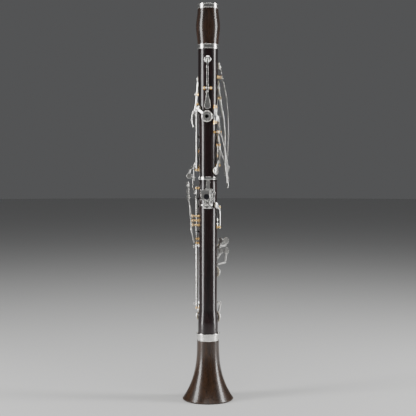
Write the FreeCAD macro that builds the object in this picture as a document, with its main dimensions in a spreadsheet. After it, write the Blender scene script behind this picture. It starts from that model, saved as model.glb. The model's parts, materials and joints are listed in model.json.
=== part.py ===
"""Clarinet in B flat, without its mouthpiece, standing on its bell.

The origin is the centre of the bell's foot, on the axis of the bore, with +Z towards the barrel.
The thumb side faces -Y, the finger holes face +Y, and +X is the player's right. Lengths are in
millimetres. Angles run round the bore from +X towards +Y. A station is a height above the foot of
the joint that a piece belongs to. Keys are drawn with their pads closed, and those that stand
open are then swung up about their rods.
"""
import FreeCAD, Part
import Sketcher
import math
import os

from FreeCAD import Placement, Rotation, Vector

SIZES = {
    # The four wooden sections and the bore.
    "bell_length": 100.0,
    "lower_length": 233.0,
    "upper_length": 188.0,
    "barrel_length": 66.0,
    "bore_radius": 7.4,
    # Barrel.
    "barrel_end_radius": 15.4,
    "barrel_belly_radius": 18.0,
    "barrel_ring_radius": 15.9,
    "barrel_ring_height": 7.0,
    "barrel_ring_wall": 1.4,
    # Upper joint: slim below, wider above a short taper.
    "upper_slim_radius": 13.2,
    "upper_wide_radius": 14.7,
    "upper_taper_foot": 72.0,
    "upper_taper_top": 112.0,
    # Lower joint: slim above, swelling to its foot.
    "lower_slim_radius": 13.35,
    "lower_foot_radius": 15.0,
    "lower_swell_foot": 14.0,
    "lower_swell_top": 36.0,
    "middle_ring_height": 4.2,
    "middle_ring_radius": 14.0,
    # Tenons, sockets and corks.
    "tenon_core_radius": 10.1,
    "tenon_cork_radius": 11.0,
    "upper_tenon_length": 17.0,
    "middle_tenon_length": 15.0,
    "bell_tenon_core_radius": 11.4,
    "bell_tenon_cork_radius": 12.3,
    "bell_tenon_length": 22.0,
    "tenon_shoulder": 2.0,
    "socket_slack": 0.05,
    "socket_end_gap": 0.5,
    # Bell.
    "bell_throat_radius": 16.6,
    "bell_rim_radius": 38.1,
    "bell_throat_bore": 11.5,
    "bell_flare_power": 2.75,
    "bell_ring_height": 11.0,
    "bell_ring_radius": 16.4,
    "bell_ring_lip": 0.9,
    "bell_ring_lip_height": 3.0,
    "bell_seat_radius": 15.0,
    # Hinges: rods, posts and key tubes.
    "rod_radius": 0.9,
    "rod_slack": 0.05,
    "tube_radius": 1.75,
    "hinge_rise": 3.85,
    "post_head_radius": 2.1,
    "post_stem_radius": 1.15,
    "post_foot_radius": 2.3,
    "post_foot_height": 0.8,
    "post_root": 1.0,
    "rod_reach_share": 0.9,
    "shank_radius": 1.2,
    "shank_depth": 3.0,
    "end_play": 0.2,
    "pivot_half_width": 2.6,
    "largest_chip": 0.3,
    # Pads, cups and seats.
    "pad_thickness": 1.9,
    "pad_depth_in_cup": 1.1,
    "cup_wall": 0.5,
    "cup_crown": 0.7,
    "crown_share": 0.6,
    "pad_gap": 0.12,
    "seat_rise": 0.4,
    "seat_margin": 0.9,
    "relief_margin": 0.8,
    "relief_depth": 1.6,
    "small_pad": 4.6,
    "middle_pad": 5.6,
    "large_pad": 8.2,
    "thumb_pad": 4.1,
    "side_pad": 5.3,
    "f_sharp_pad_radius": 6.6,
    # Key metal.
    "arm_thickness": 1.5,
    "arm_width": 3.0,
    "touch_thickness": 1.6,
    "bow_rise": 4.8,
    "side_arm_width": 4.0,
    "lever_width": 3.2,
    "touch_corner_share": 0.42,
    "spoon_hip_share": 0.93,
    "spoon_waist_share": 0.45,
    "finger_angle": 90.0,
    # Finger holes and rings.
    "hole_radius": 3.6,
    "chimney_radius": 4.5,
    "chimney_rise": 1.3,
    "ring_bore_radius": 5.5,
    "ring_rim": 1.7,
    "ring_rise": 0.5,
    # Opening angles of the keys, in degrees.
    "ring_opening": 5.0,
    "key_opening": 6.0,
    "lever_travel": 4.0,
    "bow_opening": 3.0,
    # Left-hand stack of hinge rods, which runs down both joints.
    "stack_angle": 167.0,
    "upper_stack_top": 107.0,
    "upper_stack_split": 67.0,
    "upper_stack_foot": 10.0,
    "lower_stack_top": 216.0,
    "lower_stack_foot": 140.5,
    "long_rod_top": 134.0,
    "long_rod_foot": 37.0,
    # Finger holes: stations.
    "first_hole": 95.0,
    "second_hole": 59.0,
    "third_hole": 25.0,
    "fourth_hole": 200.0,
    "fifth_hole": 177.0,
    "sixth_hole": 151.0,
    "thumb_hole": 89.0,
    "thumb_angle": 263.0,
    "thumb_tube_radius": 6.0,
    "thumb_tube_bore": 3.0,
    "thumb_tube_rise": 1.3,
    "tube_depth": 5.0,
    "thumb_ring_bore_radius": 6.8,
    "register_tube_radius": 2.6,
    "register_tube_bore": 1.5,
    "seat_depth": 3.5,
    "seat_wall": 1.1,
    "tenon_shoulder_inset": 0.2,
    "barrel_socket_length": 17.0,
    "barrel_socket_radius": 11.1,
    "barrel_draw": 4.0,
    "bell_rim_roll": 2.2,
    "bell_foot_land": 1.6,
    "middle_ring_wall": 1.2,
    "long_key_opening": 4.0,
    "short_key_opening": 8.0,
    "thumb_opening": 4.5,
    "left_pivot_radius": 22.5,
    "left_pivot_angle": 185.0,
    # Where single arms and posts stand.
    "side_arm_station": 40.0,
    "front_post": 114.0,
    "f_arm_station": 109.2,
    "a_flat_arm_station": 126.0,
    "ring_arm_share": 0.8,
    "ring_arm_lift": 0.6,
    # Left-hand levers: their pivots' sockets and where the arms bend, from the pivot outwards.
    "lever_hub_half": 1.3,
    "lever_tail_rise": -2.2,
    "lever_tail_station": 135.0,
    "lever_knee_rise": 0.5,
    "lever_knee_station": 148.0,
    "lever_saddle_rise": 2.3,
    "lever_saddle_reach": 8.0,
    "lever_neck_rise": 4.5,
    "lever_neck_station": 192.0,
    "lever_touch_rise": 6.8,
    "lever_touch_angle": 215.0,
    "lever_touch_width": 7.2,
    "lever_touch_length": 9.0,
    # Thumb rest, at stations of the lower joint.
    "rest_foot": 186.0,
    "rest_plate_width": 13.0,
    "rest_plate_length": 28.0,
    "rest_plate_wall": 1.4,
    "rest_rail_length": 42.0,
    "rest_rail_width": 5.8,
    "rest_rail_depth": 2.2,
    "rest_screw_low": 4.0,
    "rest_screw_high": 23.5,
    "rest_screw_spread": 0.72,
    "rest_screw_radius": 1.5,
    "screw_core_share": 0.6,
    "rest_screw_head": 0.6,
    "rest_screw_length": 6.0,
    "rest_screw_slot": 0.4,
    "rest_slider_left": -10.5,
    "rest_slider_right": 2.2,
    "rest_slider_rise": 13.0,
    "rest_slider_length": 15.0,
    "rest_slider_wall": 1.8,
    "rest_cheek": 2.0,
    "rest_cheek_gap": 0.6,
    "rest_leg_width": 3.0,
    "rest_leg_length": 8.0,
    "rest_shelf_reach": 17.0,
    "rest_shelf_left": -11.0,
    "rest_shelf_right": 7.6,
    "rest_shelf_radius": 26.0,
    "rest_shelf_wall": 1.9,
    "rest_shelf_drop": 9.0,
    "rest_corner_share": 0.3,
    "rest_lip": 1.6,
    "rest_lip_height": 3.0,
    "rest_travel": 7.0,
    "rest_slack": 0.1,
    "rest_knob_across": -2.2,
    "rest_knob_station": 203.8,
    "rest_knob_radius": 4.0,
    "rest_knob_height": 3.4,
    "rest_knob_notches": 16,
    "rest_knob_notch": 0.35,
    "strap_ring_across": 4.6,
    "strap_ring_station": 207.5,
    "strap_ring_half_width": 5.6,
    "strap_ring_straight": 4.6,
    "strap_ring_wire": 2.0,
}

# Hinges that run along the bore: angle, foot and top station of the rod.
RODS = {
    "thumb_ring_key": (310, 80, 103),
    "side_key_4": (348, 17, 47),
    "c_sharp_key": (150, 13.5, 38.5),
    "upper_sliver_key": (35, 31, 55),
    "front_keys": (82, 102, 133),
    "f_sharp_key": (128, 36, 106),
    "lower_sliver_key": (0, 158, 188),
}

# Keys that rock on a rod across the bore: angle, pad's station and pivot's station.
ROCKERS = {
    "register_key": (268, 172, 130),
    "a_key": (95, 151, 129),
    "g_sharp_key": (143, 145, 122),
    "side_key_1": (5, 164, 147),
    "side_key_2": (30, 138, 117),
    "side_key_3": (340, 87, 66),
}

# Pads of the other keys: station of the arm at the hinge, then the pad's angle and station.
PADS = {
    "first_ring_pad": (80, 118, 80),
    "bridge_ring_pad": (43, 120, 43),
    "thumb_ring_pad": (101, 208, 101),
    "side_pad_4": (23, 321, 9),
    "c_sharp_pad": (30, 125, 30),
    "upper_sliver_pad": (50.5, 5, 58),
    "three_ring_pad": (188.5, 122, 188.5),
    "e_pad": (43, 30, 22.6),
    "f_pad": (106.2, 47.5, 90),
    "a_flat_pad": (120, 112, 120),
    "f_sharp_pad": (40.5, 150, 24.5),
    "lower_sliver_pad": (184, -30, 191),
}

# Bends of each arm towards its touch: angle, height over the wood and station.
BENDS = {
    "bridge_ring_key": [(167, 8.1, 15), (162, 8.1, -5)],
    "register_key": [(268, 7.3, 118), (268, 7.6, 112)],
    "a_key": [(95, 6.1, 118), (95, 6.4, 110)],
    "g_sharp_key": [(143, 8.1, 106), (146, 10.4, 94)],
    "side_key_1": [(5, 8.3, 137), (5, 12.8, 115), (5, 16.2, 88), (5, 16.8, 60), (5, 15.6, 27),
                   (5, 16.3, 15)],
    "side_key_2": [(30, 8.1, 104), (30, 12.2, 88), (30, 15.3, 60), (30, 15.3, 20), (30, 16.1, 6)],
    "side_key_3": [(340, 10.8, 56), (340, 14.3, 40), (340, 17.5, 22), (340, 18.0, 0)],
    "side_key_4": [(348, 8.8, 31), (349.7, 14.7, 20), (350, 15.2, 8), (370, 15.7, -8.5)],
    "c_sharp_key": [(139.6, 13.1, 19), (150.1, 17.9, 10), (157.7, 17.1, 4)],
    "upper_sliver_key": [(62, 4.2, 40)],
    "three_ring_key": [(167, 7.7, 209), (162, 9.7, 222), (162, 9.7, 236)],
    "e_key": [(31.1, 17.6, 129), (27.8, 17.8, 133)],
    "f_key": [(47, 7.2, 110.2), (36.1, 9.6, 118)],
    "a_flat_key": [(58, 5.1, 126.6), (35.1, 6.8, 127.4), (33.1, 7.9, 134)],
    "f_sharp_key": [(31.3, 16.5, 104), (27.8, 17.8, 118)],
    "lower_sliver_key": [(44, 4.5, 165)],
}

# Touches: angle, height over the wood and station of the middle, facing angle, width and length.
TOUCHES = {
    "a_key": (95, 6.3, 113, 95, 8, 13),
    "side_key_1": (5, 17.1, 13.5, 5, 7.5, 7.6),
    "side_key_2": (30, 16.9, 5, 30, 7.5, 7.6),
    "side_key_3": (340, 18.8, -3.5, 340, 7.5, 7.6),
    "side_key_4": (370.9, 16.4, -12, 12, 7.5, 10),
    "c_sharp_key": (160.5, 16.7, 1.5, 90, 8.2, 8.2),
    "upper_sliver_key": (64, 4.4, 40, 64, 5, 14),
    "e_key": (26.9, 17.6, 136.5, 75, 7.6, 9.6),
    "f_key": (34.4, 9.7, 121.5, 75, 7.6, 9),
    "a_flat_key": (31.2, 8.9, 136.5, 75, 7.6, 9.6),
    "f_sharp_key": (26.9, 17.6, 121.5, 75, 7.6, 9),
    "lower_sliver_key": (46, 4.7, 165, 46, 5, 14),
}

# Spoon touches: angle, height over the wood, stations of the wide and narrow end, then widths.
SPOONS = {
    "register_key": (268, 7.6, 103.4, 125, 8.6, 3.2),
}

# Bowed touches: angle, height over the wood at the crown, station, facing, width, length and sag.
BOWED = {
    "g_sharp_key": (148, 12.2, 86, 152, 9, 24, 2.8),
}

# Left-hand levers: pivot's station, its distance to the front, the touch's shift and its station.
LEVERS = {
    "left_f_sharp_lever": (174.6, 3.8, -2.0, 203),
    "left_e_lever": (167.9, 7.6, -1.9, 212.2),
    "left_f_lever": (161.2, 11.4, 0.8, 221.4),
}

# Arms that bend round the front: the angle where each leaves and its station.
BOWS = {
    "e_key": [(30, 43), (48, 129)],
    "f_sharp_key": [(50, 101)],
}

for table, parts in (
        (RODS, ("hinge_angle", "rod_foot", "rod_top")),
        (ROCKERS, ("pad_angle", "pad_station", "pivot_station")),
        (PADS, ("arm_station", "angle", "station")),
        (TOUCHES, ("touch_angle", "touch_rise", "touch_station", "touch_facing", "touch_width",
                   "touch_length")),
        (SPOONS, ("spoon_angle", "spoon_rise", "spoon_foot", "spoon_top", "spoon_wide",
                  "spoon_narrow")),
        (BOWED, ("touch_angle", "touch_rise", "touch_station", "touch_facing", "touch_width",
                 "touch_length", "touch_sag")),
        (LEVERS, ("pivot_station", "pivot_reach", "touch_shift", "touch_station"))):
    for label, values in table.items():
        SIZES.update({"%s_%s" % (label, part): value for part, value in zip(parts, values)})
for label, bends in BENDS.items():
    for index, values in enumerate(bends):
        for part, value in zip(("angle", "rise", "station"), values):
            SIZES["%s_bend_%d_%s" % (label, index, part)] = value
for label, bows in BOWS.items():
    for index, values in enumerate(bows):
        for part, value in zip(("angle", "station"), values):
            SIZES["%s_bow_%d_%s" % (label, index, part)] = value

doc = FreeCAD.newDocument("Clarinet")
sheet = doc.addObject("Spreadsheet::Sheet", "Sizes")
for row, (alias, value) in enumerate(SIZES.items(), start=1):
    sheet.set("A%d" % row, alias)
    sheet.set("B%d" % row, str(value))
    sheet.setAlias("B%d" % row, alias)
doc.recompute()

UP = Vector(0, 0, 1)
NODES = []
KEYS = {}

LOWER_FOOT = "Sizes.bell_length"
UPPER_FOOT = "Sizes.bell_length + Sizes.lower_length"
BARREL_FOOT = "Sizes.bell_length + Sizes.lower_length + Sizes.upper_length"


def size(alias):
    """Value of one named size in the sheet."""
    return float(sheet.get(alias))


def sizes(label, *parts):
    """Values of several sizes whose names start with a piece's label."""
    return [size("%s_%s" % (label, part)) for part in parts]


def polar(angle, radius, station):
    turn = math.radians(angle)
    return Vector(radius * math.cos(turn), radius * math.sin(turn), station)


def outward(angle):
    return polar(angle, 1, 0)


def around(angle):
    """Direction of growing angle."""
    return polar(angle + 90, 1, 0)


def slope(station, foot, top, foot_radius, top_radius):
    """Radius of a straight taper between two stations, and constant outside them."""
    share = min(max((station - foot) / (top - foot), 0), 1)
    return foot_radius + share * (top_radius - foot_radius)


def upper_wood(station):
    return slope(station, size("upper_taper_foot"), size("upper_taper_top"),
                 size("upper_slim_radius"), size("upper_wide_radius"))


def lower_wood(station):
    return slope(station, size("lower_swell_foot"), size("lower_swell_top"),
                 size("lower_foot_radius"), size("lower_slim_radius"))


def keep(feature, label, foot="0"):
    """Name a finished sub-part, lift it to the foot of its section and list it as a node."""
    feature.Label = label
    feature.setExpression("Placement.Base.z", foot)
    NODES.append(feature)
    return feature


def shaped(label, shape, foot="0"):
    """A sub-part whose shape is worked out in this file from the sheet's sizes."""
    feature = doc.addObject("Part::Feature", label)
    feature.Shape = shape
    feature.Placement = Placement(Vector(0, 0, 0), Rotation())
    return keep(feature, label, foot)


def turned(name, corners):
    """A PartDesign body turned about Z from an outline of (radius, height) expressions."""
    body = doc.addObject("PartDesign::Body", name)
    plane = next(plane for plane in body.Origin.OriginFeatures if plane.Role == "XZ_Plane")
    sketch = body.newObject("Sketcher::SketchObject", name + "_outline")
    sketch.AttachmentSupport = [(plane, "")]
    sketch.MapMode = "FlatFace"
    points = [[float(sketch.evalExpression(text)) for text in corner] for corner in corners]
    for index, (radius, height) in enumerate(points):
        after = points[(index + 1) % len(points)]
        sketch.addGeometry(Part.LineSegment(Vector(radius, height, 0), Vector(after[0], after[1], 0)))
    for index in range(len(points)):
        after = (index + 1) % len(points)
        sketch.addConstraint(Sketcher.Constraint("Coincident", index, 2, after, 1))
    for index, (point, corner) in enumerate(zip(points, corners)):
        for kind, value, text in zip(("DistanceX", "DistanceY"), point, corner):
            number = sketch.addConstraint(Sketcher.Constraint(kind, -1, 1, index, 1, value))
            sketch.setExpression("Constraints[%d]" % number, text)
    revolution = body.newObject("PartDesign::Revolution", name + "_turning")
    revolution.Profile = sketch
    revolution.ReferenceAxis = (sketch, ["V_Axis"])
    revolution.Angle = 360
    doc.recompute()
    return body


def solid_ring(name, inner, outer, foot, top):
    """A plain turned ring between two radii and two heights."""
    return turned(name, [(inner, foot), (outer, foot), (outer, top), (inner, top)])


# Solids of the key work.

def bar(start, end, width, thickness, face):
    """A flat bar between two points; face is the direction of its thickness."""
    length = (end - start).Length + thickness
    along = (end - start).normalize()
    across = along.cross(face).normalize()
    depth = along.cross(across)
    blank = Part.makeBox(length, width, thickness)
    blank.translate(Vector(-thickness / 2, -width / 2, -thickness / 2))
    turn = FreeCAD.Matrix(along.x, across.x, depth.x, start.x,
                          along.y, across.y, depth.y, start.y,
                          along.z, across.z, depth.z, start.z)
    blank.transformShape(turn, True)
    return blank


def bow(radius, low_angle, high_angle, station, width, thickness):
    """An arm that bends round the bore at one radius."""
    foot = Vector(0, 0, station - width / 2)
    span = high_angle - low_angle
    outer = Part.makeCylinder(radius + thickness / 2, width, foot, UP, span)
    inner = Part.makeCylinder(radius - thickness / 2, width, foot, UP, span)
    part = outer.cut(inner)
    part.rotate(Vector(0, 0, 0), UP, low_angle)
    return part


def facing(shape, angle, radius, station):
    """Stand a solid drawn along +Z on the bore's side, pointing outwards."""
    out = outward(angle)
    side = around(angle)
    turn = FreeCAD.Matrix(side.x, 0, out.x, out.x * radius,
                          side.y, 0, out.y, out.y * radius,
                          0, 1, 0, station)
    shape.transformShape(turn, True)
    return shape


def disc(points):
    """A solid turned about +Z from an outline of (radius, height) points."""
    corners = [Vector(radius, 0, height) for radius, height in points]
    face = Part.Face(Part.makePolygon(corners + corners[:1]))
    return face.revolve(Vector(0, 0, 0), UP, 360)


class Section:
    """What is gathered for one joint: its wood's profile, holes, seats, posts and rods."""

    def __init__(self, name, foot, wood):
        self.name = name
        self.foot = foot
        self.wood = wood
        self.seats = []
        self.posts = []
        self.rods = []
        self.holes = []
        self.tubes = []
        self.shanks = []

    def seat(self, angle, station, pad_radius):
        """A raised flat seat and its tone hole; returns the radius of the seat's plane."""
        level = self.wood(station) + size("seat_rise")
        self.seats.append((angle, station, pad_radius, level))
        return level

    def post(self, head, inward):
        """A post whose head carries a rod and whose shank is screwed into the wood."""
        surface = self.wood(head.z)
        bearing = head - UP * head.z
        depth = bearing.dot(inward * -1)
        sideways = (bearing + inward * depth).Length
        ground = math.sqrt(surface ** 2 - sideways ** 2)
        stem = depth - ground
        ball = Part.makeSphere(size("post_head_radius"), head)
        root = size("post_root")
        shaft = Part.makeCylinder(size("post_stem_radius"), stem + root, head, inward)
        collar = head + inward * (stem - size("post_foot_height"))
        foot = Part.makeCylinder(size("post_foot_radius"), size("post_foot_height") + root,
                                 collar, inward)
        self.posts.append(ball.multiFuse([shaft, foot]))
        shank = Part.makeCylinder(size("shank_radius"), size("shank_depth") + root,
                                  head + inward * (stem - root / 2), inward)
        self.shanks.append(shank)

    def rod(self, start, end):
        run = (end - start).normalize()
        reach = size("post_head_radius") * size("rod_reach_share")
        length = (end - start).Length + 2 * reach
        self.rods.append(Part.makeCylinder(size("rod_radius"), length, start - run * reach, run))

    def long_rod(self, angle, low, high, between=()):
        """A hinge rod along the bore with a post at each end; returns its radius from the bore."""
        ends = [low] + list(between) + [high]
        radius = self.hinge_radius((low + high) / 2)
        for station in ends:
            self.post(polar(angle, radius, station), outward(angle) * -1)
        self.rod(polar(angle, radius, low), polar(angle, radius, high))
        return radius

    def spot(self, angle, rise, station):
        """A point at a height over the wood."""
        return polar(angle, self.wood(station) + rise, station)

    def hinge_radius(self, station):
        return self.wood(station) + size("hinge_rise")

    def cross_rod(self, angle, station):
        """A pivot rod across the bore's side, held by two posts; returns its centre."""
        radius = self.hinge_radius(station)
        side = around(angle)
        reach = size("pivot_half_width") + size("end_play") + size("post_head_radius")
        centre = polar(angle, radius, station)
        for way in (-1, 1):
            self.post(centre + side * (way * reach), outward(angle) * -1)
        self.rod(centre - side * reach, centre + side * reach)
        return centre


def upright(edge):
    """Whether a straight edge runs along Z."""
    return abs(edge.tangentAt(edge.FirstParameter).z) > math.sqrt(0.5)


def tube_ends(low, high):
    """Where a key's tube starts and ends between two posts."""
    margin = size("post_head_radius") + size("end_play")
    return low + margin, high - margin


class Key:
    """A key of one section, drawn with its pad closed."""

    def __init__(self, section, label):
        self.section = section
        self.label = label
        self.solids = []
        self.bores = []
        self.pads = []
        KEYS[label] = self

    def tube(self, start, end):
        """A hinge tube; the key turns about the first one."""
        run = end - start
        if not self.solids:
            self.hinge = start
            self.axis = Vector(run).normalize()
        self.solids.append(Part.makeCylinder(size("tube_radius"), run.Length, start, run))
        bore = size("rod_radius") + size("rod_slack")
        reach = size("tube_radius")
        self.bores.append(Part.makeCylinder(bore, run.Length + 2 * reach,
                                            start - self.axis * reach, run))

    def stack_tube(self, angle, radius, low, high, way=1):
        """A tube along the bore; way is 1 if the pad is on the side of smaller angles."""
        ends = [polar(angle, radius, low), polar(angle, radius, high)]
        self.tube(*ends[::way])

    def cross_tube(self, angle, centre):
        side = around(angle) * size("pivot_half_width")
        self.tube(centre - side, centre + side)

    def arm(self, points, face, width="arm_width"):
        """Flat bars end to end."""
        for start, end in zip(points[:-1], points[1:]):
            self.solids.append(bar(start, end, size(width), size("arm_thickness"), face))

    def bow(self, low_angle, high_angle, hinge_radius, station):
        """An arm that rises from the hinge and bends round the bore, outside the other tubes."""
        radius = hinge_radius + size("bow_rise")
        self.arm([polar(high_angle, hinge_radius, station), polar(high_angle, radius, station)],
                 around(high_angle))
        self.solids.append(bow(radius, low_angle, high_angle, station, size("arm_width"),
                               size("arm_thickness")))
        return polar(low_angle, radius, station)

    def run(self, start, face, width="arm_width"):
        """An arm from a point through the key's own bends."""
        bends = [self.section.spot(*sizes("%s_bend_%d" % (self.label, index), "angle", "rise",
                                          "station")) for index in range(len(BENDS[self.label]))]
        self.arm([start] + bends, face, width)

    def cup(self, name, angle, station, pad_radius, level=None):
        """A pad cup with its pad over a seat; returns the middle of the cup's crown."""
        seat = level or self.section.seat(angle, station, pad_radius)
        pad_top = size("pad_thickness")
        rim = pad_top - size("pad_depth_in_cup")
        top = pad_top + size("cup_wall")
        outer = pad_radius + size("cup_wall")
        crown = top + size("cup_crown")
        shell = disc([(0, pad_top), (pad_radius, pad_top), (pad_radius, rim), (outer, rim),
                      (outer, pad_top), (outer - size("cup_wall"), top),
                      (outer * size("crown_share"), crown), (0, crown)])
        foot = seat + size("pad_gap")
        self.solids.append(facing(shell, angle, foot, station))
        pad = Part.makeCylinder(pad_radius, pad_top)
        self.pads.append((name, facing(pad, angle, foot, station)))
        return polar(angle, foot + top + size("cup_crown") / 2, station)

    def ring(self, angle, station, bore):
        """A finger ring round a hole's chimney; returns the ring's middle."""
        low = self.section.wood(station) + size("ring_rise")
        high = low + size("touch_thickness")
        rim = bore + size("ring_rim")
        bevel = size("ring_rim") / 3
        ring = disc([(bore, low), (rim - bevel, low), (rim, low + bevel), (rim, high - bevel),
                     (rim - bevel, high), (bore + bevel, high), (bore, high - bevel)])
        self.solids.append(facing(ring, angle, 0, station))
        return polar(angle, (low + high) / 2, station)

    def plate(self, centre, angle, width, length):
        """A touch plate with rounded corners, square to the outward direction at an angle."""
        thickness = size("touch_thickness")
        plate = Part.makeBox(width, length, thickness)
        plate.translate(Vector(-width / 2, -length / 2, -thickness / 2))
        uprights = [edge for edge in plate.Edges if upright(edge)]
        plate = plate.makeFillet(min(width, length) * size("touch_corner_share"), uprights)
        plate = facing(plate, angle, 0, 0)
        plate.translate(centre)
        self.solids.append(plate)

    def touch(self):
        """The key's own touch plate."""
        angle, rise, station, face, width, length = sizes(
            self.label, "touch_angle", "touch_rise", "touch_station", "touch_facing",
            "touch_width", "touch_length")
        self.plate(self.section.spot(angle, rise, station), face, width, length)

    def spoon(self):
        """A touch like a spoon: wide and round at its foot, narrow at its top."""
        angle, rise, foot, top, wide, narrow = sizes(
            self.label, "spoon_angle", "spoon_rise", "spoon_foot", "spoon_top", "spoon_wide",
            "spoon_narrow")
        thickness = size("touch_thickness")
        length = top - foot
        waist = narrow + (wide - narrow) * size("spoon_waist_share")
        edge = [(wide / 2, 0), (wide / 2 * size("spoon_hip_share"), length / 4),
                (waist / 2, length / 2), (narrow / 2, length)]
        right = Part.BSplineCurve()
        right.interpolate([Vector(across, up, 0) for across, up in edge])
        left = Part.BSplineCurve()
        left.interpolate([Vector(-across, up, 0) for across, up in reversed(edge)])
        end = Part.makeLine(Vector(narrow / 2, length, 0), Vector(-narrow / 2, length, 0))
        foot_arc = Part.Arc(Vector(-wide / 2, 0, 0), Vector(0, -wide / 2, 0),
                            Vector(wide / 2, 0, 0)).toShape()
        outline = Part.Wire([right.toShape(), end, left.toShape(), foot_arc])
        blade = Part.Face(outline).extrude(UP * thickness)
        blade.translate(UP * (thickness / -2))
        radius = self.section.wood((foot + top) / 2) + rise
        self.solids.append(facing(blade, angle, radius, foot))

    def bowed_touch(self):
        """A touch plate bent like a bow, which stands highest in the middle of its length."""
        angle, rise, station, face, width, length, sag = sizes(
            self.label, "touch_angle", "touch_rise", "touch_station", "touch_facing",
            "touch_width", "touch_length", "touch_sag")
        thickness = size("touch_thickness")
        curve = (length * length / 4 + sag * sag) / (2 * sag)
        across = Vector(1, 0, 0)
        middle = Vector(-width / 2, 0, -curve)
        shell = Part.makeCylinder(curve + thickness / 2, width, middle, across).cut(
            Part.makeCylinder(curve - thickness / 2, width, middle, across))
        window = Part.makeBox(width, length, sag + thickness,
                              Vector(-width / 2, -length / 2, -sag - thickness / 2))
        plate = facing(shell.common(window), face, 0, 0)
        plate.translate(self.section.spot(angle, rise, station))
        self.solids.append(plate)

    def finish(self, opening=0):
        """Put the key and its pads in nodes, swung open about the hinge where they stand open."""
        solid = self.solids[0].multiFuse(self.solids[1:])
        solid = solid.cut(self.bores + [pad for name, pad in self.pads])
        pieces = sorted(solid.Solids, key=lambda piece: piece.Volume)
        chips = sum(piece.Volume for piece in pieces[:-1])
        if chips > size("largest_chip"):
            raise RuntimeError("%s is in %d pieces" % (self.label, len(pieces)))
        solid = pieces[-1]
        swing = Placement(Vector(), Rotation(self.axis, opening), self.hinge).toMatrix()
        for label, shape in [(self.label, solid)] + self.pads:
            shape.transformShape(swing, True)
            shaped(label, shape, self.section.foot)


# Wood, rings and corks.

upper = Section("upper", UPPER_FOOT, upper_wood)
lower = Section("lower", LOWER_FOOT, lower_wood)


def finger_hole(section, station):
    section.holes.append((size("finger_angle"), station))


def compound(name, shapes):
    feature = doc.addObject("Part::Feature", name)
    feature.Shape = Part.makeCompound(shapes)
    return feature


def drilled(section, label, blank):
    """A turned blank with its seats, tone holes, finger holes, tube holes and post holes."""
    wood = section.wood
    reliefs = []
    raised = []
    holes = list(section.shanks)
    for angle, station, pad_radius, level in section.seats:
        relief = Part.makeCylinder(pad_radius + size("relief_margin"), wood(station))
        reliefs.append(facing(relief, angle, level - size("relief_depth"), station))
        seat_radius = pad_radius - size("seat_margin")
        deep = wood(station) - size("seat_depth")
        raised.append(facing(Part.makeCylinder(seat_radius, level - deep), angle, deep, station))
        holes.append(facing(Part.makeCylinder(seat_radius - size("seat_wall"), 2 * level),
                            angle, 0, station))
    for angle, station in section.holes:
        deep = wood(station) - size("seat_depth")
        top = wood(station) + size("chimney_rise")
        raised.append(facing(Part.makeCylinder(size("chimney_radius"), top - deep),
                             angle, deep, station))
        holes.append(facing(Part.makeCylinder(size("hole_radius"), 2 * top), angle, 0, station))
    for angle, station, radius, bore in section.tubes:
        deep = wood(station) - size("tube_depth")
        holes.append(facing(Part.makeCylinder(radius, 2 * size("tube_depth")), angle, deep, station))
        holes.append(facing(Part.makeCylinder(bore, wood(station)), angle, 0, station))
    relieved = doc.addObject("Part::Cut", section.name + "_relieved")
    relieved.Base = blank
    relieved.Tool = compound(section.name + "_reliefs", reliefs)
    seated = doc.addObject("Part::MultiFuse", section.name + "_seated")
    seated.Shapes = [relieved, compound(section.name + "_seats", raised)]
    bored = doc.addObject("Part::Cut", label)
    bored.Base = seated
    bored.Tool = compound(section.name + "_holes", holes)
    doc.recompute()
    return keep(bored, label, section.foot)


def vent_tube(section, label, angle, station, radius, bore, rise):
    """A metal tube let into the wood's side."""
    section.tubes.append((angle, station, radius, bore))
    wood = section.wood(station)
    low = wood - size("tube_depth")
    outer = Part.makeCylinder(radius, wood + rise - low)
    shell = outer.cut(Part.makeCylinder(bore, wood + rise - low))
    shaped(label, facing(shell, angle, low, station), section.foot)


def hardware(section, blank):
    """The posts with their shanks in one node, and the rods in another."""
    rods = Part.makeCompound(section.rods)
    posts = []
    for body, shank in zip(section.posts, section.shanks):
        standing = body.cut([blank.Shape, rods]).fuse(shank)
        posts.append(max(standing.Solids, key=lambda solid: solid.Volume))
    shaped(section.name + "_posts", Part.makeCompound(posts), section.foot)
    shaped(section.name + "_hinge_rods", rods, section.foot)


def tenon(core, shoulder, start, length, way):
    """Outline of a tenon with a cork's groove, from its root (start) outwards."""
    root = start
    tip = "%s %s %s" % (start, way, length)
    near = "%s %s Sizes.tenon_shoulder" % (root, way)
    back = "-" if way == "+" else "+"
    far = "%s %s Sizes.tenon_shoulder" % (tip, back)
    return [(shoulder, root), (shoulder, near), (core, near), (core, far), (shoulder, far),
            (shoulder, tip)]


CORK = "Sizes.tenon_cork_radius"
CORE = "Sizes.tenon_core_radius"
SHOULDER = "Sizes.tenon_cork_radius - Sizes.tenon_shoulder_inset"
BELL_CORK = "Sizes.bell_tenon_cork_radius"
BELL_CORE = "Sizes.bell_tenon_core_radius"
BELL_SHOULDER = "Sizes.bell_tenon_cork_radius - Sizes.tenon_shoulder_inset"
BORE = "Sizes.bore_radius"
TOP = "Sizes.upper_length"
SOCKET = "Sizes.tenon_cork_radius + Sizes.socket_slack"

upper_top_tenon = tenon(CORE, SHOULDER, TOP, "Sizes.upper_tenon_length", "+")
upper_foot_tenon = tenon(CORE, SHOULDER, "0", "Sizes.middle_tenon_length", "-")
upper_blank = turned("upper_blank", [(BORE, "-Sizes.middle_tenon_length")] + upper_foot_tenon[::-1] + [
    ("Sizes.upper_slim_radius", "0"), ("Sizes.upper_slim_radius", "Sizes.upper_taper_foot"),
    ("Sizes.upper_wide_radius", "Sizes.upper_taper_top"), ("Sizes.upper_wide_radius", TOP),
] + upper_top_tenon + [(BORE, TOP + " + Sizes.upper_tenon_length")])

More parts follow.
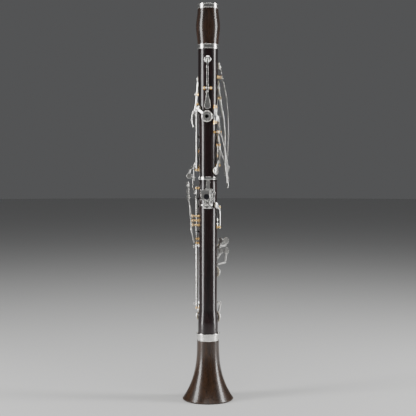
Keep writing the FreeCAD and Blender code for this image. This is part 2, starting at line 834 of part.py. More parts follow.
RING_SEAT = "Sizes.middle_ring_radius - Sizes.middle_ring_wall"
LOWER_TOP = "Sizes.lower_length"
RING_FOOT = "Sizes.lower_length - Sizes.middle_ring_height"
SOCKET_FLOOR = "Sizes.lower_length - Sizes.middle_tenon_length - Sizes.socket_end_gap"
lower_foot_tenon = tenon(BELL_CORE, BELL_SHOULDER, "0", "Sizes.bell_tenon_length", "-")
lower_blank = turned("lower_blank", [(BORE, "-Sizes.bell_tenon_length")] + lower_foot_tenon[::-1] + [
    ("Sizes.lower_foot_radius", "0"), ("Sizes.lower_foot_radius", "Sizes.lower_swell_foot"),
    ("Sizes.lower_slim_radius", "Sizes.lower_swell_top"), ("Sizes.lower_slim_radius", RING_FOOT),
    (RING_SEAT, RING_FOOT), (RING_SEAT, LOWER_TOP), (SOCKET, LOWER_TOP), (SOCKET, SOCKET_FLOOR),
    (BORE, SOCKET_FLOOR)])

keep(solid_ring("middle_ring", RING_SEAT, "Sizes.middle_ring_radius", RING_FOOT, LOWER_TOP),
     "middle_ring", LOWER_FOOT)
keep(solid_ring("upper_tenon_cork", CORE, CORK, TOP + " + Sizes.tenon_shoulder",
                TOP + " + Sizes.upper_tenon_length - Sizes.tenon_shoulder"),
     "upper_tenon_cork", UPPER_FOOT)
keep(solid_ring("middle_tenon_cork", CORE, CORK, "Sizes.tenon_shoulder - Sizes.middle_tenon_length",
                "-Sizes.tenon_shoulder"), "middle_tenon_cork", UPPER_FOOT)
keep(solid_ring("bell_tenon_cork", BELL_CORE, BELL_CORK,
                "Sizes.tenon_shoulder - Sizes.bell_tenon_length", "-Sizes.tenon_shoulder"),
     "bell_tenon_cork", LOWER_FOOT)


# Barrel.

def barrel():
    """A bulged sleeve with a socket at each end and a rebate for each ring."""
    length = size("barrel_length")
    ring = size("barrel_ring_height")
    seat = size("barrel_ring_radius") - size("barrel_ring_wall")
    low_socket = size("tenon_cork_radius") + size("socket_slack")
    low_depth = size("upper_tenon_length") + size("socket_end_gap")
    top_depth = length - size("barrel_socket_length")
    bulge = Part.Arc(Vector(size("barrel_end_radius"), 0, ring),
                     Vector(size("barrel_belly_radius"), 0, length / 2),
                     Vector(size("barrel_end_radius"), 0, length - ring)).toShape()
    inside = [(size("barrel_end_radius"), length - ring), (seat, length - ring), (seat, length),
              (size("barrel_socket_radius"), length), (size("barrel_socket_radius"), top_depth),
              (size("bore_radius"), top_depth), (size("bore_radius"), low_depth),
              (low_socket, low_depth), (low_socket, 0), (seat, 0), (seat, ring),
              (size("barrel_end_radius"), ring)]
    rest = Part.makePolygon([Vector(radius, 0, height) for radius, height in inside])
    outline = Part.Wire([bulge] + rest.Edges)
    return Part.Face(outline).revolve(Vector(0, 0, 0), UP, 360)


shaped("barrel_body", barrel(), BARREL_FOOT)
BARREL_RING = "Sizes.barrel_ring_radius"
BARREL_SEAT = "Sizes.barrel_ring_radius - Sizes.barrel_ring_wall"
keep(solid_ring("barrel_bottom_ring", BARREL_SEAT, BARREL_RING, "0", "Sizes.barrel_ring_height"),
     "barrel_bottom_ring", BARREL_FOOT)
keep(solid_ring("barrel_top_ring", BARREL_SEAT, BARREL_RING,
                "Sizes.barrel_length - Sizes.barrel_ring_height", "Sizes.barrel_length"),
     "barrel_top_ring", BARREL_FOOT)


# Bell.

def flare(throat, mouth, low, high, points=9):
    """Curve of a bell's wall, which opens from its throat (high) to its mouth (low)."""
    power = size("bell_flare_power")
    corners = []
    for index in range(points + 1):
        share = index / points
        radius = throat + (mouth - throat) * (1 - share) ** power
        corners.append(Vector(radius, 0, low + (high - low) * share))
    curve = Part.BSplineCurve()
    curve.interpolate(corners)
    return curve.toShape()


def bell():
    """A flared bell with a socket, a rebate for its ring and a rolled rim."""
    top = size("bell_length")
    ring_foot = top - size("bell_ring_height")
    rim = size("bell_rim_radius")
    roll = size("bell_rim_roll")
    mouth = rim - roll - size("bell_foot_land")
    socket = size("bell_tenon_cork_radius") + size("socket_slack")
    floor = top - size("bell_tenon_length") - size("socket_end_gap")
    outer = flare(size("bell_throat_radius"), rim, roll, ring_foot)
    inner = flare(size("bell_throat_bore"), mouth, 0, floor)
    corner = roll * (1 - math.sqrt(0.5))
    rolled = Part.Arc(Vector(rim, 0, roll), Vector(rim - corner, 0, corner),
                      Vector(rim - roll, 0, 0)).toShape()
    foot = Part.makePolygon([Vector(rim - roll, 0, 0), Vector(mouth, 0, 0)])
    inside = [(size("bell_throat_bore"), floor), (socket, floor), (socket, top),
              (size("bell_seat_radius"), top), (size("bell_seat_radius"), ring_foot),
              (size("bell_throat_radius"), ring_foot)]
    rest = Part.makePolygon([Vector(radius, 0, height) for radius, height in inside])
    outline = Part.Wire(Part.__sortEdges__([outer, rolled, inner] + foot.Edges + rest.Edges))
    return Part.Face(outline).revolve(Vector(0, 0, 0), UP, 360)


shaped("bell_body", bell())
BELL_TOP = "Sizes.bell_length"
LIP_FOOT = "Sizes.bell_length - Sizes.bell_ring_lip_height"
BELL_RING = "Sizes.bell_ring_radius"
keep(turned("bell_ring", [
    ("Sizes.bell_seat_radius", "Sizes.bell_length - Sizes.bell_ring_height"),
    (BELL_RING, "Sizes.bell_length - Sizes.bell_ring_height"),
    (BELL_RING, LIP_FOOT), (BELL_RING + " + Sizes.bell_ring_lip", LIP_FOOT),
    (BELL_RING + " + Sizes.bell_ring_lip", BELL_TOP), ("Sizes.bell_seat_radius", BELL_TOP)]),
    "bell_ring")


# Keys of the upper joint.

STACK = size("stack_angle")
FRONT = size("finger_angle")


def upper_stack():
    """First ring and bridge ring keys, on the left-hand rod."""
    low = size("upper_stack_foot")
    top = size("upper_stack_top")
    split = size("upper_stack_split")
    radius = upper.long_rod(STACK, low, top)
    foot, head = tube_ends(low, top)
    play = size("end_play")

    first = Key(upper, "first_ring_key")
    first.stack_tube(STACK, radius, split + play / 2, head)
    finger_hole(upper, size("first_hole"))
    ringed_arm(first, STACK, radius, size("first_hole"))
    padded_arm(first, "first_ring_pad", STACK, radius, size("small_pad"))
    first.finish(size("ring_opening"))

    bridge = Key(upper, "bridge_ring_key")
    bridge.stack_tube(STACK, radius, foot, split - play / 2)
    finger_hole(upper, size("second_hole"))
    ringed_arm(bridge, STACK, radius, size("second_hole"))
    padded_arm(bridge, "bridge_ring_pad", STACK, radius, size("small_pad"))
    bridge.run(polar(STACK, radius, size("bridge_ring_key_bend_0_station")),
               outward(size("bridge_ring_key_bend_1_angle")))
    bridge.finish(size("ring_opening"))
    finger_hole(upper, size("third_hole"))


def ringed_arm(key, hinge_angle, radius, station):
    """A finger ring at the front with an arm from the hinge."""
    middle = key.ring(FRONT, station, size("ring_bore_radius"))
    edge = middle + around(FRONT) * (size("ring_bore_radius") + size("ring_rim") / 2)
    key.arm([polar(hinge_angle, radius, station), edge], outward((hinge_angle + FRONT) / 2))


def padded_arm(key, name, hinge_angle, radius, pad_radius):
    """A pad cup with an arm that leaves the hinge squarely, then runs to the cup's crown."""
    hinge_station, angle, station = sizes(name, "arm_station", "angle", "station")
    crown = key.cup(name, angle, station, pad_radius)
    middle = (hinge_angle + angle) / 2
    high = radius + size("arm_thickness") / 2
    points = [polar(hinge_angle, high, hinge_station), crown]
    if hinge_station != station:
        points.insert(1, polar(middle, high, hinge_station))
    key.arm(points, outward(middle))


def seesaw(section, label, pad_radius, width="arm_width", level=None):
    """A key that rocks on a cross rod, with its pad above the rod and its touch below."""
    angle, pad_station, pivot = sizes(label, "pad_angle", "pad_station", "pivot_station")
    centre = section.cross_rod(angle, pivot)
    rocker = Key(section, label)
    rocker.cross_tube(angle, centre)
    pad = label.replace("_key", "_pad")
    crown = rocker.cup(pad, angle, pad_station, pad_radius, level)
    saddle = polar(angle, section.hinge_radius(pivot) + size("tube_radius"), pivot)
    rocker.arm([crown, saddle], outward(angle), width)
    rocker.run(saddle, outward(angle), width)
    return rocker


def register():
    """Register key, on the thumb side, over its vent tube."""
    angle, station = sizes("register_key", "pad_angle", "pad_station")
    rise = size("thumb_tube_rise")
    vent_tube(upper, "register_vent_tube", angle, station, size("register_tube_radius"),
              size("register_tube_bore"), rise)
    rocker = seesaw(upper, "register_key", size("small_pad"), level=upper_wood(station) + rise)
    rocker.spoon()
    rocker.finish()


def thumb_ring():
    """Thumb ring key: ring round the thumb tube, hinge on the right, pad on the left."""
    station = size("thumb_hole")
    angle = size("thumb_angle")
    vent_tube(upper, "thumb_tube", angle, station, size("thumb_tube_radius"),
              size("thumb_tube_bore"), size("thumb_tube_rise"))
    hinge, low, top = sizes("thumb_ring_key", "hinge_angle", "rod_foot", "rod_top")
    radius = upper.long_rod(hinge, low, top)
    foot, head = tube_ends(low, top)
    thumb = Key(upper, "thumb_ring_key")
    thumb.stack_tube(hinge, radius, foot, head)
    bore = size("thumb_ring_bore_radius")
    middle = thumb.ring(angle, station, bore)
    rim = bore + size("ring_rim") / 2
    right = middle + around(angle) * rim
    thumb.arm([polar(hinge, radius, station), right], outward((hinge + angle) / 2))
    left = middle - around(angle) * (size("ring_arm_share") * rim)
    left += UP * (size("ring_arm_lift") * rim)
    pad_angle, pad_station = sizes("thumb_ring_pad", "angle", "station")
    crown = thumb.cup("thumb_ring_pad", pad_angle, pad_station, size("thumb_pad"))
    thumb.arm([left, crown], outward((pad_angle + angle) / 2))
    thumb.finish(size("thumb_opening"))


def throat_keys():
    """A key and G sharp key at the top of the front."""
    throat = seesaw(upper, "a_key", size("small_pad"))
    throat.touch()
    throat.finish()
    side = seesaw(upper, "g_sharp_key", size("small_pad"))
    side.bowed_touch()
    side.finish()


def side_keys():
    """Four keys for the right forefinger; the last one turns on a rod along the bore."""
    for label in ("side_key_1", "side_key_2", "side_key_3"):
        angle, pad_station, pivot = sizes(label, "pad_angle", "pad_station", "pivot_station")
        centre = upper.cross_rod(angle, pivot)
        rocker = Key(upper, label)
        rocker.cross_tube(angle, centre)
        pad = label.replace("_key", "_pad")
        crown = rocker.cup(pad, angle, pad_station, size("small_pad"))
        saddle = polar(angle, upper.hinge_radius(pivot) + size("tube_radius"), pivot)
        rocker.arm([crown, saddle], outward(angle))
        rocker.run(saddle, outward(angle), "side_arm_width")
        rocker.touch()
        rocker.finish()
    hinge, low, top = sizes("side_key_4", "hinge_angle", "rod_foot", "rod_top")
    radius = upper.long_rod(hinge, low, top)
    foot, head = tube_ends(low, top)
    short = Key(upper, "side_key_4")
    short.stack_tube(hinge, radius, foot, head)
    padded_arm(short, "side_pad_4", hinge, radius, size("side_pad"))
    short.run(polar(hinge, radius, size("side_arm_station")), outward(hinge))
    short.touch()
    short.finish()


def low_upper_keys():
    """C sharp key at the foot of the left side and the upper sliver key."""
    hinge, low, top = sizes("c_sharp_key", "hinge_angle", "rod_foot", "rod_top")
    radius = upper.long_rod(hinge, low, top)
    foot, head = tube_ends(low, top)
    sharp = Key(upper, "c_sharp_key")
    sharp.stack_tube(hinge, radius, foot, head)
    padded_arm(sharp, "c_sharp_pad", hinge, radius, size("small_pad"))
    sharp.run(polar(hinge, radius, size("c_sharp_key_bend_0_station")), LEANING_FRONT)
    sharp.touch()
    sharp.finish()

    hinge, low, top = sizes("upper_sliver_key", "hinge_angle", "rod_foot", "rod_top")
    radius = upper.long_rod(hinge, low, top)
    foot, head = tube_ends(low, top)
    sliver = Key(upper, "upper_sliver_key")
    sliver.stack_tube(hinge, radius, foot, head)
    padded_arm(sliver, "upper_sliver_pad", hinge, radius, size("small_pad"))
    station, angle = sizes("upper_sliver_key_bend_0", "station", "angle")
    sliver.run(polar(hinge, radius, station), outward((hinge + angle) / 2))
    sliver.touch()
    sliver.finish()


# Direction in which the arms of the little-finger keys are thin: forward, a little to the right.
LEANING_FRONT = Vector(0.3, 1, 0.2)

upper_stack()
register()
thumb_ring()
throat_keys()
side_keys()
low_upper_keys()
hardware(upper, upper_blank)
drilled(upper, "upper_joint_body", upper_blank)


# Keys of the lower joint.

def lower_stack():
    """Three-ring key and E key, on the left-hand rods."""
    low = size("lower_stack_foot")
    top = size("lower_stack_top")
    radius = lower.long_rod(STACK, low, top)
    foot, head = tube_ends(low, top)
    rings = Key(lower, "three_ring_key")
    rings.stack_tube(STACK, radius, foot, head)
    for name in ("fourth_hole", "fifth_hole", "sixth_hole"):
        finger_hole(lower, size(name))
        ringed_arm(rings, STACK, radius, size(name))
    padded_arm(rings, "three_ring_pad", STACK, radius, size("small_pad"))
    rings.run(polar(STACK, radius, size("three_ring_key_bend_0_station")),
              outward(size("three_ring_key_bend_1_angle")))
    rings.finish(size("ring_opening"))

    low = size("long_rod_foot")
    top = size("long_rod_top")
    radius = lower.long_rod(STACK, low, top)
    foot, head = tube_ends(low, top)
    natural = Key(lower, "e_key")
    natural.stack_tube(STACK, radius, foot, head)
    low_bow, high_bow = [sizes("e_key_bow_%d" % index, "angle", "station") for index in (0, 1)]
    low_end = natural.bow(low_bow[0], STACK, radius, low_bow[1])
    high_end = natural.bow(high_bow[0], STACK, radius, high_bow[1])
    pad_angle, pad_station = sizes("e_pad", "angle", "station")
    crown = natural.cup("e_pad", pad_angle, pad_station, size("large_pad"))
    natural.arm([low_end, crown], outward(pad_angle))
    natural.run(high_end, LEANING_FRONT)
    natural.touch()
    natural.finish(size("bow_opening"))


def front_keys():
    """F, A flat and F sharp keys, hinged at the front, with touches at the right."""
    hinge, low, top = sizes("front_keys", "hinge_angle", "rod_foot", "rod_top")
    middle = size("front_post")
    radius = lower.long_rod(hinge, low, top, between=(middle,))

    foot, head = tube_ends(low, middle)
    natural = Key(lower, "f_key")
    natural.stack_tube(hinge, radius, foot, head)
    padded_arm(natural, "f_pad", hinge, radius, size("large_pad"))
    natural.run(polar(hinge, radius, size("f_arm_station")), LEANING_FRONT)
    natural.touch()
    natural.finish(size("short_key_opening"))

    foot, head = tube_ends(middle, top)
    flat = Key(lower, "a_flat_key")
    flat.stack_tube(hinge, radius, foot, head, way=-1)
    padded_arm(flat, "a_flat_pad", hinge, radius, size("middle_pad"))
    flat.run(polar(hinge, radius, size("a_flat_arm_station")), LEANING_FRONT)
    flat.touch()
    flat.finish()

    hinge, low, top = sizes("f_sharp_key", "hinge_angle", "rod_foot", "rod_top")
    radius = lower.long_rod(hinge, low, top)
    foot, head = tube_ends(low, top)
    sharp = Key(lower, "f_sharp_key")
    sharp.stack_tube(hinge, radius, foot, head, way=-1)
    padded_arm(sharp, "f_sharp_pad", hinge, radius, size("f_sharp_pad_radius"))
    angle, station = sizes("f_sharp_key_bow_0", "angle", "station")
    sharp.run(sharp.bow(angle, hinge, radius, station), LEANING_FRONT)
    sharp.touch()
    sharp.finish()


def lower_sliver():
    """Sliver key at the right, between the fifth and sixth holes."""
    hinge, low, top = sizes("lower_sliver_key", "hinge_angle", "rod_foot", "rod_top")
    radius = lower.long_rod(hinge, low, top)
    foot, head = tube_ends(low, top)
    sliver = Key(lower, "lower_sliver_key")
    sliver.stack_tube(hinge, radius, foot, head)
    padded_arm(sliver, "lower_sliver_pad", hinge, radius, size("small_pad"))
    station, angle = sizes("lower_sliver_key_bend_0", "station", "angle")
    sliver.run(polar(hinge, radius, station), outward((hinge + angle) / 2))
    sliver.touch()
    sliver.finish()


def left_levers():
    """Three levers for the left little finger, each on a pivot that stands out from one post."""
    angle = size("left_pivot_angle")
    out = outward(angle)
    front = around(angle) * -1
    hub = front * size("lever_hub_half")
    for label in LEVERS:
        station, reach, shift, touch_station = sizes(label, "pivot_station", "pivot_reach",
                                                     "touch_shift", "touch_station")
        head = polar(angle, size("left_pivot_radius"), station)
        lower.post(head, out * -1)
        lower.rod(head, head + front * reach)
        lever = Key(lower, label)
        centre = head + front * reach
        lever.tube(centre - hub, centre + hub)
        line = centre - UP * station
        saddle = size("lever_saddle_rise")
        end = (size("lever_touch_rise"), touch_station)
        bends = [(size("lever_tail_rise"), size("lever_tail_station")),
                 (size("lever_knee_rise"), size("lever_knee_station")),
                 (saddle, station - size("lever_saddle_reach")),
                 (saddle, station + size("lever_saddle_reach")),
                 (size("lever_neck_rise"), size("lever_neck_station")), end]
        lever.arm([line + out * rise + UP * height for rise, height in bends], out,
                  "lever_width")
        lever.plate(line + out * end[0] + UP * end[1] + front * shift,
                    size("lever_touch_angle"), size("lever_touch_width"),
                    size("lever_touch_length"))
        lever.finish()


lower_stack()
front_keys()
lower_sliver()
left_levers()
hardware(lower, lower_blank)


# Thumb rest.

BACK = 270
TOWARDS_FRONT = Vector(0, 1, 0)


def rest_plate():
    """A curved plate with a longer rail on its back, held by four screws."""
    foot = size("rest_foot")
    length = size("rest_plate_length")
    wood = size("lower_slim_radius")
    top = wood + size("rest_plate_wall")
    span = math.degrees(math.asin(size("rest_plate_width") / 2 / top))
    shell = Part.makeCylinder(top, length, Vector(0, 0, foot), UP, 2 * span)
    shell.rotate(Vector(0, 0, 0), UP, BACK - span)
    width = size("rest_rail_width")
    tall = size("rest_rail_length")
    back = -(top + size("rest_rail_depth"))
    rail = Part.makeBox(width, -back, tall, Vector(-width / 2, back, foot))
    core = Part.makeCylinder(wood, tall, Vector(0, 0, foot))
    plate = shell.fuse(rail).cut(core)
    core_side = Part.makeBox(2 * wood, 2 * wood, tall, Vector(-wood, 0, foot))
    plate = plate.cut(core_side)
    screw_radius = size("rest_screw_radius")
    deep = size("rest_screw_length")
    slot = size("rest_screw_slot")
    screws = []
    for station in (foot + size("rest_screw_low"), foot + size("rest_screw_high")):
        for side in (-1, 1):
            angle = BACK + side * span * size("rest_screw_spread")
            head = Part.makeCylinder(screw_radius, size("rest_screw_head"))
            shank = Part.makeCylinder(screw_radius * size("screw_core_share"), deep,
                                      UP * -deep)
            groove = Part.makeBox(2 * screw_radius, slot, slot,
                                  Vector(-screw_radius, -slot / 2, size("rest_screw_head") - slot))
            drill = facing(shank.copy(), angle, top, station)
            screws.append(facing(head.fuse(shank).cut(groove), angle, top, station))
            plate = plate.cut(drill)
            lower.shanks.append(drill)
    screws = [screw.cut(plate) for screw in screws]
    shaped("thumb_rest_screws", Part.makeCompound(screws), lower.foot)
    shaped("thumb_rest_plate", plate.Solids[0], lower.foot)
    return back


def rest_hook(face):
    """The part that slides on the rail: plate, legs, curved shelf and strap ring."""
    wall = size("rest_slider_wall")
    left = size("rest_slider_left")
    tall = size("rest_slider_length")
    foot = size("rest_foot") + size("rest_slider_rise")
    back = face - wall
    parts = [Part.makeBox(size("rest_slider_right") - left, wall, tall, Vector(left, back, foot))]
    cheek = size("rest_cheek")
    inner = size("rest_rail_width") / 2 + size("rest_slack")
    depth = size("rest_rail_depth") - size("rest_cheek_gap")
    parts.append(Part.makeBox(cheek, depth, tall, Vector(-inner - cheek, face, foot)))
    shelf_left = size("rest_shelf_left")
    shelf_right = size("rest_shelf_right")
    middle = (shelf_left + shelf_right) / 2
    leg = size("rest_leg_width")
    drop = size("rest_shelf_drop")
    parts.append(Part.makeBox(leg, wall, drop, Vector(middle - leg / 2, back, foot - drop)))
    reach = size("rest_shelf_reach")
    bend = size("rest_shelf_radius")
    thick = size("rest_shelf_wall")
    axis = Vector(middle, back + wall - reach, foot - drop + bend)
    trough = Part.makeCylinder(bend, reach, axis, TOWARDS_FRONT).cut(
        Part.makeCylinder(bend - thick, reach, axis, TOWARDS_FRONT))
    width = shelf_right - shelf_left
    window = Part.makeBox(width, reach, bend, Vector(shelf_left, back + wall - reach, foot - drop))
    corners = [edge for edge in window.Edges
               if upright(edge) and edge.CenterOfMass.y < back - reach / 2]
    parts.append(trough.common(window.makeFillet(width * size("rest_corner_share"), corners)))
    lip = size("rest_lip")
    lip_height = size("rest_lip_height")
    parts.append(Part.makeBox(width / 3, lip, lip_height + thick,
                              Vector(middle - width / 6, back + wall - reach,
                                     foot - drop - lip_height)))
    knob = Vector(size("rest_knob_across"), back, size("rest_knob_station"))
    drill = Part.makeCylinder(size("rest_screw_radius") + size("rod_slack"), 4 * wall,
                              knob - TOWARDS_FRONT * wall, TOWARDS_FRONT)
    parts.append(strap_ring(face))
    hook = parts[0].multiFuse(parts[1:]).cut(drill)
    shaped("thumb_rest_hook", hook.Solids[0], lower.foot)
    return knob


def strap_ring(face):
    """A flat oval ring at the hook's right, for a neck strap."""
    straight = size("strap_ring_straight")
    wall = size("rest_slider_wall")
    outer = size("strap_ring_half_width")
    station = size("strap_ring_station")
    middle = Vector(size("strap_ring_across"), face - wall, station)

    def oval(radius):
        ends = [Part.makeCylinder(radius, wall, middle + UP * (way * straight / 2), TOWARDS_FRONT)
                for way in (-1, 1)]
        waist = Part.makeBox(2 * radius, wall, straight,
                             middle + Vector(-radius, 0, -straight / 2))
        return waist.multiFuse(ends)

    return oval(outer).cut(oval(outer - size("strap_ring_wire")))


def lock_screw(face, knob):
    """The knob that holds the hook on its rail, with notches round its edge."""
    height = size("rest_knob_height")
    radius = size("rest_knob_radius")
    head = Part.makeCylinder(radius, height, knob - TOWARDS_FRONT * height, TOWARDS_FRONT)
    count = round(size("rest_knob_notches"))
    notches = []
    for index in range(count):
        turn = 2 * math.pi * index / count
        edge = knob + Vector(radius * math.cos(turn), -2 * height, radius * math.sin(turn))
        notches.append(Part.makeCylinder(size("rest_knob_notch"), 3 * height, edge, TOWARDS_FRONT))
    length = height + face - size("rest_slack") - knob.y
    shank = Part.makeCylinder(size("rest_screw_radius"), length,
                              knob - TOWARDS_FRONT * height, TOWARDS_FRONT)
    shaped("thumb_rest_lock_screw", head.cut(notches).fuse(shank).Solids[0], lower.foot)


rail_back = rest_plate()
hook_face = rail_back - size("rest_slack")
lock_screw(hook_face, rest_hook(hook_face))
drilled(lower, "lower_joint_body", lower_blank)


def write_parts():
    """Check every object and write each node's STEP file."""
    doc.recompute()
    for thing in doc.Objects:
        if "Invalid" in thing.State or "Error" in thing.State:
            raise RuntimeError("%s failed: %s" % (thing.Label, thing.State))
    os.makedirs("parts", exist_ok=True)
    for node in NODES:
        shape = node.Shape
        if shape.isNull() or not shape.isValid():
            raise RuntimeError("%s has a bad shape" % node.Label)
        shape.exportStep("parts/%s.step" % node.Label)
    print("%d nodes written" % len(NODES))


write_parts()
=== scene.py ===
"""Looks of a B flat clarinet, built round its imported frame.

Lengths in the properties are metres. The instrument stands on its bell with its bore on the Z
axis, its thumb side faces -Y and its finger holes face +Y.
"""
import json
import math

import bmesh
import bpy
from bpy.props import FloatProperty, FloatVectorProperty, PointerProperty
from mathutils import Matrix, Vector


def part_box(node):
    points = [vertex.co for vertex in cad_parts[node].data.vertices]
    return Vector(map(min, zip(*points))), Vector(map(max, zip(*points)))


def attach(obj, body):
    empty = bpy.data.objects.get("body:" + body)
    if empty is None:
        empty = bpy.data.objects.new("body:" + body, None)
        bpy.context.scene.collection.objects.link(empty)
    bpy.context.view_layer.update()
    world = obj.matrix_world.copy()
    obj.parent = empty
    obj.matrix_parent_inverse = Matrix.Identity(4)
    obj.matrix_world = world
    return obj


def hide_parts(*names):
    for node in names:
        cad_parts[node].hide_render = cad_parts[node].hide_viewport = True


bl_info = {
    "name": "Clarinet",
    "version": (1, 0, 0),
    "blender": (4, 5, 0),
    "location": "3D View > Sidebar > Clarinet",
    "description": "Gives a packed clarinet its woods, plated metal, springs, screws and stage",
    "category": "Object",
}

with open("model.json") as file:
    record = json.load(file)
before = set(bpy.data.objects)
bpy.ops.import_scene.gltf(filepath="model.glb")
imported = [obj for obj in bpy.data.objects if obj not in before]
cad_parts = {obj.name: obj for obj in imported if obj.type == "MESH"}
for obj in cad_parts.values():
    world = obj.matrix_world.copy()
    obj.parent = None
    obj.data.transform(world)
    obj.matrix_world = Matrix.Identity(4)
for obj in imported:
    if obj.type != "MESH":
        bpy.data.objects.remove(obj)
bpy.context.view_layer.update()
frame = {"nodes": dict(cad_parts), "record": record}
NODES = frame["nodes"]
BODY_OF = {node: body for body, nodes in frame["record"]["behaviour"]["bodies"].items()
           for node in nodes}
SLOT_OF = {part["node"]: part["material_slot"] for part in frame["record"]["subparts"]}
KEYS = sorted(node for node in NODES
              if node.endswith("_key") or node.endswith("_lever") or "side_key" in node)
PADS = sorted(node for node in NODES if "pad" in node)
FINISHES = {}

MM = 0.001
AXIS_Z = Vector((0, 0, 1))
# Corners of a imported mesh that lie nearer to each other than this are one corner.
WELD = 0.002 * MM


def colour(name, description, default):
    """A property that holds a colour."""
    return FloatVectorProperty(name=name, description=description, default=default,
                               subtype="COLOR", size=3, min=0, max=1)


def length(name, description, default):
    """A property that holds a length."""
    return FloatProperty(name=name, description=description, default=default, min=0,
                         unit="LENGTH", precision=5)


def amount(name, description, default):
    """A property that runs from 0 to 1."""
    return FloatProperty(name=name, description=description, default=default, min=0, max=1,
                         subtype="FACTOR")


class ClarinetWood(bpy.types.PropertyGroup):
    """Colours of the woods, the width of their figure and the outline of the barrel"""
    barrel_dark: colour("Barrel dark", "Dark figure of the barrel", (0.0085, 0.0046, 0.0030))
    barrel_warm: colour("Barrel warm", "Warm ground of the barrel", (0.034, 0.0165, 0.0095))
    bell_dark: colour("Bell dark", "Dark figure of the bell", (0.0095, 0.0045, 0.0022))
    bell_warm: colour("Bell warm", "Warm ground of the bell", (0.040, 0.0180, 0.0072))
    joint_dark: colour("Joint dark", "Ground of the two joints", (0.0024, 0.0014, 0.0016))
    joint_warm: colour("Joint warm", "Reddish streaks of the two joints", (0.0135, 0.0045, 0.0050))
    barrel_end: length("Barrel end", "Radius of the barrel beside its rings", 0.0154)
    barrel_swell: length("Barrel swell", "How far the barrel swells between its rings", 0.0024)
    figure_width: length("Figure width", "Width of one band of the wood's figure", 0.009)
    grain_width: length("Grain width", "Width of one fine line of grain", 0.0007)
    pore_width: length("Pore width", "Width of one open pore", 0.00022)


class ClarinetMetal(bpy.types.PropertyGroup):
    """Colours and roughness of the plated and bare metals"""
    silver: colour("Silver", "Silver plate of keys and rings", (0.90, 0.89, 0.86))
    tarnish: colour("Tarnish", "Silver plate where it has dulled", (0.66, 0.62, 0.55))
    gold: colour("Gold", "Gold plate of the posts", (0.93, 0.64, 0.27))
    gold_dull: colour("Dull gold", "Gold plate where it has dulled", (0.62, 0.38, 0.15))
    steel: colour("Steel", "Steel of rods, screws and springs", (0.55, 0.55, 0.57))
    steel_blue: colour("Blued steel", "Tempered steel of the needle springs", (0.11, 0.13, 0.19))
    dark: colour("Dark steel", "Blackened steel of the lock screw", (0.075, 0.075, 0.085))
    polish: amount("Polish", "Roughness of the brightest plate", 0.14)
    handled: amount("Handled", "Roughness of the plate where fingers have dulled it", 0.27)


class ClarinetFittings(bpy.types.PropertyGroup):
    """Sizes of springs, screws and eased edges"""
    key_voxel: length("Key detail", "Finest detail kept when a key is rounded", 0.00022)
    spring_radius: length("Spring radius", "Radius of a needle spring", 0.00024)
    spring_tip: length("Spring tip", "Radius of a needle spring's tip", 0.000108)
    spring_length: length("Spring length", "Length of a needle spring", 0.021)
    slot_width: length("Slot width", "Width of a screwdriver slot", 0.00045)
    slot_depth: length("Slot depth", "Depth of a screwdriver slot", 0.0004)
    screw_radius: length("Screw head radius", "Radius of a hinge screw's head", 0.00135)
    screw_height: length("Screw head height", "Height of a hinge screw's head", 0.0008)
    flat_spring_width: length("Flat spring width", "Width of a flat spring", 0.002)
    flat_spring_thickness: length("Flat spring thickness", "Thickness of a flat spring", 0.0003)
    eased_edge: length("Eased edge", "Rounding of the edges of rings and screw heads", 0.00022)
    pad_roll: length("Pad roll", "Rounding of a pad's edge", 0.00035)
    ring_wall: length("Ring wall", "Wall of a turned ring", 0.0012)
    bell_ring_lip: length("Bell ring lip", "How far the bell ring's lip stands out", 0.0009)


class ClarinetStage(bpy.types.PropertyGroup):
    """Camera, floor and lights"""
    camera_distance: length("Camera distance", "From the bore's axis to the camera", 1.46)
    camera_height: length("Camera height", "Height of the camera over the floor", 0.35)
    aim_height: length("Aim height", "Height of the point the camera looks at", 0.2865)
    lens: FloatProperty(name="Lens", description="Focal length", default=85.0, min=10,
                        unit="CAMERA")
    floor: colour("Floor", "Plain pale floor", (0.74, 0.74, 0.73))
    strip_power: FloatProperty(name="Strip light power", description="Each tall side light",
                               default=20.0, min=0, unit="POWER")
    top_power: FloatProperty(name="Top light power", description="Broad light overhead",
                             default=22.0, min=0, unit="POWER")
    sky: amount("Room light", "Strength of the even light of the room", 0.10)


GROUPS = {"clarinet_wood": ClarinetWood, "clarinet_metal": ClarinetMetal,
          "clarinet_fittings": ClarinetFittings, "clarinet_stage": ClarinetStage}


def group(name):
    """One of the scene's groups of sizes and colours."""
    return getattr(bpy.context.scene, "clarinet_" + name)


